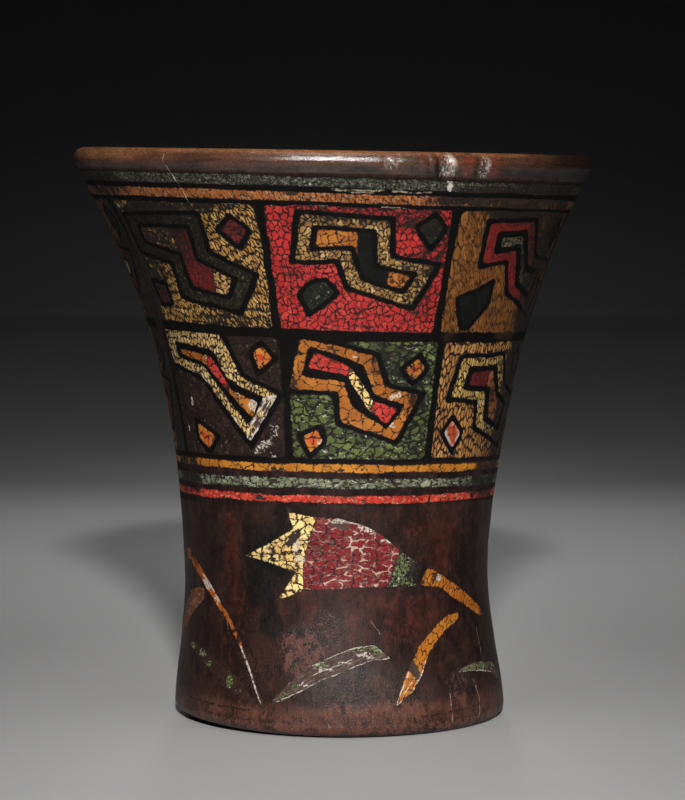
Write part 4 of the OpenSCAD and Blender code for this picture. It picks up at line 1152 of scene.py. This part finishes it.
    # pale ground where the resin has flaked thin, and painted glints
    chalk_and_glint = n.step(n.math("ADD", n.attr("white_and_glint"), ragged), 0.44, 0.56)
    col = n.mix(n.math("MULTIPLY", chalk_and_glint, n.step(n.noise(flat, 1.8, 3, 0.7), 0.40, 0.56, 0.1, 1.0)), col, n.mix(mid, linear(140, 128, 112), linear(226, 219, 204)))
    if runs:
        co = n.node("ShaderNodeTexCoord").outputs["Object"]
        line_ = marks(n, n.vec("SCALE", co, scale=1000.0), runs, per_degree)
        col = n.mix(n.math("MULTIPLY", line_, 0.85), col, linear(206, 200, 188))
    n.put(n.bsdf.inputs["Base Color"], col)
    shine = n.math("ADD", n.math("MULTIPLY", soft, 0.30), rough - 0.15)
    shine = n.math("ADD", shine, n.math("MULTIPLY", n.math("MAXIMUM", bare, chalk_and_glint), 0.2), clamp=True)
    n.put(n.bsdf.inputs["Roughness"], n.math("ADD", shine, n.math("MULTIPLY", line, 0.2), clamp=True))
    n.bsdf.inputs["Specular IOR Level"].default_value = spec
    # relief: sunk cracks and grain
    h = n.math("MULTIPLY", n.step(dist, 0.0, 0.30), 0.6)
    h = n.math("ADD", h, n.math("MULTIPLY", tiny, 0.5))
    h = n.math("ADD", h, n.math("MULTIPLY", mid, 0.4))
    h = n.math("SUBTRACT", h, n.math("MULTIPLY", bare, 0.25))
    n.put(n.bsdf.inputs["Normal"], n.bump(h, 0.00007 * relief, 0.9))
    return n.mat


LEAF_EDGE = [(0.20, (-22, 10.9), (-15, 13.9), (-10, 16.4), (-5, 18.9), (0, 20.5), (6, 22.9), (12, 24.6), (18.5, 25.2)),
             (0.12, (-23, 11.4), (-19, 15.4), (-15, 19.0), (-10, 22.6), (-5, 24.9), (5, 28.6), (13, 29.3), (18.5, 25.4)),
             (0.13, (-9, 20.0), (-2, 22.6), (5, 25.2)), (0.3, (46.5, 18.5), (55, 17.9), (63, 17.2), (70, 15.6))]
STEM_EDGE = [(0.40, (-60.5, 49.6), (-55, 46.6), (-51, 43.2), (-48.5, 41.0)), (0.22, (-47, 37.0), (-42, 32.6), (-38, 28.2)),
             (0.5, (-36.6, 27.6), (-33.0, 22.0), (-29.8, 16.0), (-26.4, 9.0)), (0.24, (42, 50.0), (44.2, 47.6))]
LONG_EDGE = [(0.36, (20, 10.6), (22.6, 15.2), (25.4, 20.2)), (0.32, (20.5, 10.4), (26, 14.0), (30.4, 19.2), (32.6, 23.4)), (0.24, (22.5, 13.0), (27.5, 18.5))]
TIP_EDGE = [(0.7, (-24.0, 107.9), (-21.6, 108.6), (-19.3, 108.8), (-21.8, 104.6), (-26.0, 99.2), (-30.2, 93.9)), (0.5, (-23.4, 107.2), (-26.6, 102.8), (-30.2, 98.0), (-30.9, 95.4)),
            (0.26, (-22.2, 106.6), (-26.4, 100.6)), (0.26, (-55.5, 116.8), (-52.0, 115.6), (-49.2, 115.4)), (0.24, (-45.5, 113.6), (-44.0, 111.4)), (0.26, (-36.0, 102.4), (-33.4, 98.6))]
HAIRLINE = [(0.2, (-38.3, 184.6), (-38.6, 182.4), (-37.6, 179.2), (-36.4, 175.4), (-35.7, 172.2), (-35.3, 170.2))]
STYLES = {
    "gold_field": dict(main=(178, 134, 68), deep=(140, 94, 42), pale=(216, 178, 110), cell=(1.2, 2.4), slant=0.5, width=0.78, wander=0.8, dirt=0.3, chips=0.5, soil_and_shade=(30, 25, 17)),
    "yellow_frame": dict(main=(154, 120, 68), deep=(118, 78, 38), pale=(188, 158, 106), cell=(1.6, 1.6), width=0.55, per_cell=0.8, dirt=0.5, chips=0.55),
    "worn_yellow": dict(main=(206, 170, 104), deep=(136, 98, 48), pale=(230, 206, 150), cell=(1.2, 2.2), width=0.6, wander=0.6, dirt=0.55, chips=0.65, flecks=0.3, loss=(80, 57, 44), runs=TIP_EDGE, per_degree=1.0),
    "olive_yellow": dict(main=(180, 146, 80), deep=(124, 96, 46), pale=(208, 180, 110), cell=(1.0, 2.6), width=0.5, wander=0.45, dirt=0.35, chips=0.5),
    "tan_field": dict(main=(164, 114, 60), deep=(118, 74, 36), pale=(200, 158, 98), cell=(1.25, 3.4), slant=-0.05, width=0.74, wander=0.5, dirt=0.35, chips=0.45),
    "gold_core": dict(main=(186, 144, 86), deep=(140, 98, 52), pale=(212, 180, 120), cell=(1.6, 1.6), width=0.55, dirt=0.5, chips=0.6),
    "cream": dict(main=(226, 196, 132), deep=(206, 162, 90), pale=(240, 220, 172), cell=(2.6, 2.3), width=0.6, dirt=0.12, chips=0.35),
    "petal": dict(main=(240, 212, 140), deep=(196, 148, 74), pale=(240, 218, 160), crack=(38, 26, 18), cell=(2.9, 2.3), width=0.62, second=(1.6, 1.5, 0, 0.3, 0.7), dirt=0.15, chips=0.3),
    "red_field": dict(main=(174, 43, 40), deep=(154, 38, 36), pale=(200, 74, 66), cell=(2.1, 2.1), width=0.52, wander=0.85, second=(1.3, 1.3, 0, 0.3, 0.7), dirt=0.12, chips=0.4, per_cell=0.45, crack=(42, 15, 14)),
    "red_frame": dict(main=(118, 31, 28), deep=(90, 25, 23), pale=(140, 42, 37), cell=(1.4, 3.4), width=0.32, cracks=0.75, dirt=0.35, chips=0.4, per_cell=0.35),
    "red_core": dict(main=(92, 26, 26), deep=(66, 21, 20), pale=(112, 36, 34), cell=(1.8, 2.4), width=0.36, cracks=0.85, dirt=0.6, chips=0.4, per_cell=0.4),
    "red_bright": dict(main=(176, 42, 36), deep=(144, 30, 28), pale=(198, 68, 56), cell=(2.9, 3.0), width=0.50, scratch=0.5, scratch_colour=(212, 120, 102), scratch_size=(2.0, 1.0), dirt=0.12, chips=0.45, per_cell=0.4),
    "red_diamond": dict(main=(92, 31, 28), deep=(66, 25, 23), pale=(116, 42, 37), cell=(1.5, 1.6), width=0.42, dirt=0.35, chips=0.5),
    "lower_red_band": dict(main=(192, 50, 32), deep=(150, 32, 24), pale=(202, 70, 46), cell=(5.0, 4.0), width=0.4, second=(1.7, 1.5, 0, 0.28, 0.5), cracks=0.9, scratch=0.8, scratch_colour=(226, 166, 138), scratch_size=(3.0, 0.8), dirt=0.15, chips=0.45, per_cell=0.3),
    "bell": dict(main=(110, 22, 26), deep=(84, 17, 21), pale=(134, 34, 38), crack=(30, 12, 13), pale_crack=(186, 158, 140), pale_at=0.54, cell=(4.2, 2.3), width=0.5, wander=0.6, scratch=0.35, scratch_colour=(200, 180, 164), scratch_size=(3.6, 0.8), dirt=0.4, chips=0.25, loss=(78, 64, 56)),
    "ochre_field": dict(main=(128, 79, 34), deep=(94, 56, 24), pale=(162, 108, 50), cell=(2.1, 4.4), slant=0.25, width=0.85, wander=0.6, second=(0.85, 5.0, 0.35, 0.5, 0.95), second_colour=(44, 27, 15), where=(30, 34), dirt=0.12, chips=0.35, per_cell=0.4),
    "ochre_core": dict(main=(162, 96, 36), deep=(136, 74, 28), pale=(184, 118, 50), cell=(2.6, 2.3), width=0.42, dirt=0.15, chips=0.4),
    "ochre_frame": dict(main=(160, 95, 35), deep=(136, 75, 26), pale=(190, 124, 52), cell=(3.9, 3.7), width=0.46, second=(2.0, 1.9, 0, 0.28, 0.45), dirt=0.1, chips=0.4, per_cell=0.4),
    "ochre_dull": dict(main=(138, 84, 42), deep=(110, 61, 33), pale=(158, 102, 54), cell=(2.2, 4.0), width=0.34, cracks=0.8, dirt=0.3, chips=0.5),
    "ochre_diamond": dict(main=(182, 112, 36), deep=(164, 80, 32), pale=(200, 134, 54), cell=(3.0, 3.0), width=0.45, dirt=0.1, chips=0.3, heart=(182, 58, 40)),
    "orange_diamond": dict(main=(166, 74, 40), deep=(140, 52, 34), pale=(190, 104, 62), cell=(2.6, 3.0), width=0.4, cracks=0.8, dirt=0.15, chips=0.1, rim_line=1.0, rim=1.15),
    "upper_ochre_band": dict(main=(150, 84, 33), deep=(116, 60, 26), pale=(174, 108, 52), cell=(1.15, 4.2), slant=0.3, width=0.42, wander=0.4, cracks=0.95, scratch=0.35, dirt=0.35, chips=0.5),
    "lower_ochre_band": dict(main=(188, 122, 38), deep=(150, 85, 27), pale=(196, 136, 52), cell=(4.6, 4.0), width=0.36, second=(1.8, 1.5, 0, 0.26, 0.5), dirt=0.12, chips=0.4, per_cell=0.35),
    "stem": dict(main=(178, 104, 28), deep=(146, 76, 23), pale=(196, 126, 44), cell=(1.5, 4.2), turn=-28, width=0.36, wander=0.5, dirt=0.15, chips=0.35),
    "slim_stem": dict(main=(166, 90, 32), deep=(120, 62, 28), pale=(188, 112, 44), cell=(2.2, 4.0), turn=35, width=0.3, cracks=0.7, dirt=0.2, chips=0.3, loss=(46, 31, 25), runs=STEM_EDGE),
    "leaf": dict(main=(178, 108, 27), deep=(150, 82, 23), pale=(196, 128, 44), cell=(1.0, 3.6), turn=-30, width=0.34, wander=0.5, cracks=0.85, dirt=0.12, chips=0.3, loss=(74, 56, 46), runs=LONG_EDGE),
    "brown_leaf": dict(main=(112, 64, 38), deep=(84, 46, 30), pale=(140, 90, 56), cell=(1.8, 4.0), turn=30, width=0.3, cracks=0.4, flecks=0.5, fleck=(176, 158, 136), fleck_size=(0.7, 0.9), dirt=0.2, rim_line=0.02),
    "upper_green_band": dict(main=(58, 64, 48), deep=(32, 38, 30), pale=(98, 108, 84), cell=(1.1, 0.85), width=0.5, flecks=0.52, fleck=(132, 138, 114), fleck_size=(0.8, 0.5), scratch=0.3, dirt=0.65, chips=0.85),
    "green_field": dict(main=(76, 86, 42), deep=(44, 52, 26), pale=(118, 130, 70), cell=(3.0, 2.2), width=0.95, flecks=0.40, fleck=(194, 196, 172), fleck_size=(2.2, 0.5), dirt=0.65, chips=0.65, soil_and_shade=(24, 28, 19), grime_and_shade=(17, 18, 13)),
    "olive_core": dict(main=(90, 84, 60), deep=(54, 56, 40), pale=(130, 122, 88), cell=(1.1, 2.0), width=0.5, flecks=0.3, fleck=(152, 142, 114), dirt=0.5, chips=0.5),
    "lower_green_band": dict(main=(108, 116, 86), deep=(70, 78, 54), pale=(152, 158, 130), cell=(2.8, 1.8), width=0.55, second=(1.0, 0.8, 0, 0.28, 0.7), flecks=0.45, fleck=(210, 214, 196), fleck_size=(2.2, 0.5), scratch=0.4, dirt=0.65, chips=0.8),
    "calyx": dict(main=(86, 98, 58), deep=(48, 56, 36), pale=(126, 136, 92), cell=(1.6, 1.6), width=0.6, flecks=0.42, fleck=(200, 200, 168), fleck_size=(0.8, 0.6), dirt=0.5, chips=0.4),
    "green_leaf": dict(main=(98, 108, 62), deep=(68, 70, 46), pale=(136, 142, 94), cell=(1.5, 1.1), width=0.4, flecks=0.45, fleck=(196, 194, 172), dirt=0.3, keep=True, rim_line=0.2, rub=((50, 36, 31), (78, 58, 49)), runs=LEAF_EDGE, smears=0.42),
    "dark_frame": dict(main=(33, 33, 24), deep=(22, 22, 17), pale=(66, 64, 44), cell=(1.1, 2.6), width=0.42, wander=0.6, cracks=0.9, flecks=0.42, fleck=(100, 96, 64), fleck_size=(0.6, 1.4), dirt=0.4, chips=0.3, spec=0.15, second=(0.7, 3.6, 0.15, 0.4, 0.8)),
    "charcoal": dict(main=(15, 16, 15), deep=(16, 16, 15), pale=(26, 28, 26), cell=(3.0, 3.0), width=0.3, cracks=0.5, dirt=0.3, chips=0.3, rough=0.6, spec=0.12),
    "dark_diamond": dict(main=(22, 25, 19), deep=(19, 22, 18), pale=(58, 70, 48), cell=(1.9, 1.7), width=0.4, flecks=0.38, fleck=(112, 108, 78), fleck_size=(1.1, 0.9), dirt=0.4, chips=0.4, spec=0.2),
    "purple_field": dict(main=(40, 29, 25), deep=(28, 21, 19), pale=(66, 47, 40), cell=(2.0, 3.0), width=0.42, cracks=0.9, flecks=0.22, fleck=(140, 124, 110), fleck_size=(0.8, 0.9), dirt=0.35, chips=0.4, spec=0.15)}
STYLES["left_leaf"] = dict(STYLES["green_leaf"], smears=0.0, rub=((36, 22, 18), (54, 32, 25)), rim_line=0.001, runs=None)
for s in ("upper_green_band", "upper_ochre_band"):
    STYLES[s].update(runs=HAIRLINE, per_degree=1.42)
MATS = {name: resin(name, **kw) for name, kw in STYLES.items()}


def wood(name, spec, base_rough, relief, turned=False):
    """Stained wood; its colour comes from the tone laid over the cup, broken up by grain, blotches and wear, with
    painted glints on scuffed wood and on the lip's notches.
    """
    n = Net(name)
    co = n.node("ShaderNodeTexCoord").outputs["Object"]
    mm = n.vec("SCALE", co, scale=1000.0)
    tone_ = n.attr("tone", "Color")
    lines_, scuff_, lip_ = n.attr("lines"), n.attr("scuff"), n.attr("lip")
    upright = n.noise(n.vec("MULTIPLY", mm, (1, 1, 0.12)), 0.5, 5, 0.62)
    level = n.noise(n.vec("MULTIPLY", mm, (0.10, 0.10, 1.0)), 0.9, 5, 0.62)
    grain = n.mixv(lip_, upright, level)
    hair_up = n.noise(n.vec("MULTIPLY", mm, (1, 1, 0.15)), 2.2, 2, 0.6)
    hair_level = n.noise(n.vec("MULTIPLY", mm, (0.10, 0.10, 1.0)), 3.0, 2, 0.6)
    hair = n.mixv(lip_, hair_up, hair_level)
    cloud = n.noise(n.vec("MULTIPLY", mm, (1, 1, 0.6)), 0.085, 4, 0.6)
    blot = n.noise(n.vec("MULTIPLY", mm, (1, 1, 0.75)), 0.30, 6, 0.68)
    speck = n.noise(mm, 1.3, 4, 0.72)
    tiny = n.noise(mm, 3.6, 2, 0.6)

    def shade(r, g, b):
        return n.mix(1.0, tone_, (r, g, b), "MULTIPLY")

    calm = n.step(lines_, 0.2, 0.9, 1.0, 0.25)
    if turned:
        calm = n.math("MULTIPLY", calm, 0.3)
    col = n.mix(n.math("MULTIPLY", n.step(cloud, 0.42, 0.60), n.math("MULTIPLY", calm, 0.85)), tone_, shade(0.36, 0.35, 0.37))
    col = n.mix(n.math("MULTIPLY", n.step(blot, 0.52, 0.64), n.math("MULTIPLY", calm, 0.75)), col, shade(1.9, 1.5, 1.35))
    col = n.mix(n.math("MULTIPLY", n.step(blot, 0.47, 0.38), n.math("MULTIPLY", calm, 0.75)), col, shade(0.30, 0.30, 0.32))
    col = n.mix(n.math("MULTIPLY", n.step(grain, 0.54, 0.70), n.math("MULTIPLY", calm, 0.5)), col, shade(1.7, 1.35, 1.15))
    col = n.mix(n.math("MULTIPLY", n.step(hair, 0.54, 0.70), n.math("MULTIPLY", calm, 0.6)), col, shade(0.35, 0.33, 0.33))
    col = n.mix(n.math("MULTIPLY", n.step(speck, 0.58, 0.68), n.math("MULTIPLY", calm, 0.5)), col, shade(2.1, 1.8, 1.65))
    if turned:
        streak = n.noise(n.vec("MULTIPLY", mm, (0.14, 0.14, 1.0)), 0.8, 5, 0.66)
        grit = n.noise(n.vec("MULTIPLY", mm, (0.45, 0.45, 1.0)), 2.4, 3, 0.7)
        col = n.mix(n.math("MULTIPLY", n.step(streak, 0.50, 0.66), 0.7), col, shade(0.34, 0.33, 0.33))
        col = n.mix(n.math("MULTIPLY", n.step(streak, 0.46, 0.34), 0.55), col, shade(1.7, 1.5, 1.35))
        col = n.mix(n.math("MULTIPLY", n.step(cloud, 0.50, 0.62), 0.25), col, shade(1.25, 0.85, 0.75))
        col = n.mix(n.math("MULTIPLY", n.step(grit, 0.52, 0.66), 0.65), col, shade(2.3, 2.0, 1.75))
        # painted glints: pale streaks, with dark streaks, on the glossy notches of the lip
        glint_streaks = n.noise(n.vec("MULTIPLY", mm, (1, 1, 0.3)), 1.5, 3, 0.65)
        col = n.mix(n.math("MULTIPLY", n.math("MULTIPLY", n.step(glint_streaks, 0.52, 0.60), n.attr("gloss_and_glint")), 0.8), col, linear(188, 178, 170))
        col = n.mix(n.math("MULTIPLY", n.math("MULTIPLY", n.step(glint_streaks, 0.46, 0.38), n.attr("gloss_and_glint")), 0.7), col, linear(34, 25, 21))
        col = n.mix(n.math("MULTIPLY", n.step(grit, 0.46, 0.32), 0.55), col, shade(0.35, 0.33, 0.33))
    # flaked places: torn patches of bared red wood and of old dark finish
    tear = n.math("ADD", scuff_, n.math("MULTIPLY", n.math("SUBTRACT", n.noise(n.vec("MULTIPLY", mm, (1, 1, 0.6)), 0.45, 6, 0.72), 0.5), 3.2))
    col = n.mix(n.math("MULTIPLY", n.step(tear, 0.80, 0.92), n.math("MULTIPLY", calm, 0.7)), col, linear(96, 58, 47))
    col = n.mix(n.math("MULTIPLY", n.step(n.math("SUBTRACT", scuff_, tear), 0.24, 0.36), n.math("MULTIPLY", n.step(scuff_, 0.1, 0.5), 0.75)), col, linear(24, 20, 19))
    # painted glints: pale specks on the scuffed wood
    speck_glints = n.math("MULTIPLY", n.step(n.noise(mm, 1.9, 3, 0.75), 0.58, 0.66), n.step(scuff_, 0.05, 0.9, 0.02, 0.75))
    col = n.mix(n.math("MULTIPLY", speck_glints, calm), col, linear(126, 108, 96))
    # scratches and pale threads
    deep_ = marks(n, mm, [(0.26, (41.5, 12.4), (41.9, 7.0), (42.0, 2.6)), (0.26, (54.6, 15.4), (57.0, 9.0), (56.6, 5.0), (55.4, 2.6)),
                          (0.20, (-3.0, 4.6), (-2.4, 2.6)), (0.14, (-44, 36), (-42.6, 31)), (0.14, (12, 37), (15.5, 33)),
                          (0.16, (62, 31), (63, 22)), (0.14, (-6, 41), (-1, 38.5))], 0.95, 0.7)
    col = n.mix(n.math("MULTIPLY", deep_, 0.7), col, linear(160, 146, 132))
    dark_ = marks(n, mm, [(0.55, (-70, 9.0), (-58, 8.5), (-46, 8.2), (-31, 8.0)), (0.4, (-56, 5.6), (-40, 5.2), (-22, 5.0)), (0.4, (28, 6.2), (44, 6.6), (58, 7.0))], 0.95, 0.8)
    col = n.mix(n.math("MULTIPLY", dark_, 0.75), col, linear(20, 15, 13))
    # a pale crack, and painted glints as pale threads along the gaps of the upper bands
    crack_and_glint_lines = marks(n, mm, HAIRLINE + [(0.42, (-1, 173.8), (6, 173.4), (10, 173.5)), (0.34, (12, 173.2), (18, 172.7), (21, 172.9)), (0.26, (3, 172.9), (8, 172.7)),
                                        (0.3, (-26, 169.4), (-21, 169.2)), (0.26, (-6, 168.9), (-2, 168.7)), (0.24, (10, 168.4), (16, 168.0))], 1.42, 0.6)
    col = n.mix(n.math("MULTIPLY", crack_and_glint_lines, 0.6), col, linear(178, 164, 146))
    n.put(n.bsdf.inputs["Base Color"], col)
    r = n.math("ADD", n.math("MULTIPLY", speck, 0.30), base_rough - 0.15)
    r = n.math("ADD", r, n.math("MULTIPLY", scuff_, -0.06), clamp=True)
    r = n.math("SUBTRACT", r, n.math("MULTIPLY", n.attr("gloss_and_glint"), 0.16), clamp=True)
    n.put(n.bsdf.inputs["Roughness"], r)
    n.bsdf.inputs["Specular IOR Level"].default_value = spec
    h = n.math("ADD", n.math("MULTIPLY", grain, 0.5), n.math("MULTIPLY", hair, 0.35))
    h = n.math("ADD", h, n.math("MULTIPLY", n.math("MULTIPLY", speck, n.math("ADD", n.math("MULTIPLY", scuff_, 1.4), 0.35)), 0.8))
    h = n.math("ADD", h, n.math("MULTIPLY", tiny, 0.15))
    h = n.math("SUBTRACT", h, n.math("MULTIPLY", n.math("MAXIMUM", deep_, crack_and_glint_lines), 0.5))
    n.put(n.bsdf.inputs["Normal"], n.bump(h, 0.00024 * relief, 0.85))
    return n.mat


cup.data.materials.append(wood("stained_wood", 0.24, 0.46, 1.0))
cup.data.materials.append(wood("stained_wood_lines", 0.10, 0.62, 0.5))
cup.data.materials.append(wood("stained_wood_lip", 1.0, 0.27, 1.15, True))
corners = np.array(wt)
matt = np.maximum(np.maximum(lines, band_gap), zone([(33.6, 50.5, 3.0, 6, 1)], 104)) * (w_kind < 2)
face_lip, face_lines = lip[corners].mean(1), matt[corners].mean(1)
cup.data.polygons.foreach_set("material_index", np.where(face_lip > 0.5, 2, np.where(face_lines > 0.5, 1, 0)).astype(np.int32))
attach(cup, "root")
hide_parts("wooden_cup")
for node, (ob, styles) in inlay_objects.items():
    for s in styles:
        ob.data.materials.append(MATS[s])
    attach(ob, "root")
    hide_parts(node)

# ---------------------------------------------------------------- floor and backdrop
floor_net = Net("studio_floor")
fm = floor_net.node("ShaderNodeTexCoord").outputs["Object"]
floor_net.put(floor_net.bsdf.inputs["Base Color"],
              floor_net.mix(floor_net.noise(fm, 9.0, 3), linear(168, 168, 169), linear(174, 174, 175)))
floor_net.bsdf.inputs["Roughness"].default_value = 0.75
floor_net.bsdf.inputs["Specular IOR Level"].default_value = 0.2
# a round floor that rises far away on every side
FLOOR = [(0.0, 0.0), (0.3, 0.0), (0.8, 0.0), (1.6, 0.0), (2.6, 0.0), (3.6, 0.0)]
FLOOR += [(3.6 + 1.6 * math.sin(a * DEG), 1.6 - 1.6 * math.cos(a * DEG)) for a in range(6, 91, 6)]
FLOOR += [(5.2, 4.0)]
fv, ff = [(0.0, 0.0, 0.0)], []
for r, h in FLOOR[1:]:
    fv += [(r * math.cos(a * 3.75 * DEG), r * math.sin(a * 3.75 * DEG), h) for a in range(96)]
for a in range(96):
    b = (a + 1) % 96
    ff.append((0, 1 + a, 1 + b))
    for k in range(len(FLOOR) - 2):
        ff.append((1 + 96 * k + a, 1 + 96 * (k + 1) + a, 1 + 96 * (k + 1) + b, 1 + 96 * k + b))
fme = bpy.data.meshes.new("studio_floor")
fme.from_pydata(fv, [], ff)
for p in fme.polygons:
    p.use_smooth = True
floor = bpy.data.objects.new("studio_floor", fme)
bpy.context.scene.collection.objects.link(floor)
fme.materials.append(floor_net.mat)

# ---------------------------------------------------------------- light
world = bpy.data.worlds.new("studio")
bpy.context.scene.world = world
world.use_nodes = True
world.node_tree.nodes["Background"].inputs[0].default_value = (0.02, 0.02, 0.02, 1)
world.node_tree.nodes["Background"].inputs[1].default_value = 0.42


def softbox(name, at, to, size, power, spread=180, colour=(1, 1, 1)):
    data = bpy.data.lights.new(name, "AREA")
    data.shape = "RECTANGLE"
    data.size, data.size_y = size
    data.energy = power
    data.color = colour
    data.spread = spread * DEG
    ob = bpy.data.objects.new(name, data)
    ob.location = at
    ob.rotation_euler = (Vector(to) - Vector(at)).to_track_quat("-Z", "Y").to_euler()
    bpy.context.scene.collection.objects.link(ob)
    return ob


softbox("key", (0.040, -1.30, 0.70), (0.0, -0.05, 0.10), (0.09, 0.05), 1.60, 44, (1.0, 0.985, 0.965))
softbox("top", (0.0, -0.32, 0.90), (0.0, -0.17, 0.0), (0.34, 0.30), 0.074, 22)
softbox("back", (0.0, 0.95, 0.95), (0.0, 0.44, 0.0), (0.50, 0.40), 0.178, 20)
softbox("low", (0.0, 0.95, 0.95), (0.0, 0.83, 0.0), (0.20, 0.20), 0.0135, 22)
softbox("wall", (0.0, 3.2, 0.9), (0.0, 3.7, 0.0), (0.60, 0.30), 0.09, 100)
softbox("far", (0.0, 2.2, 1.6), (0.0, 2.56, 0.0), (0.60, 0.40), 0.395, 151)
# behind the cup, for its other side
softbox("rear", (0.0, 0.85, 0.07), (0.0, 0.0, 0.115), (0.16, 0.06), 0.07, 24).visible_camera = False
bpy.context.scene.view_settings.view_transform = "Standard"

# ---------------------------------------------------------------- camera
cam_data = bpy.data.cameras.new("camera")
cam_data.sensor_width = 36.0
cam_data.lens = 2888.76 / 800 * 36.0
cam_data.clip_start, cam_data.clip_end = 0.05, 20
cam = bpy.data.objects.new("camera", cam_data)
cam.location = (0.00166, -0.960, 0.172)
cam.rotation_euler = ((90 - 4.0522) * DEG, 0, 0)
bpy.context.scene.collection.objects.link(cam)
bpy.context.scene.camera = cam

bpy.context.view_layer.update()
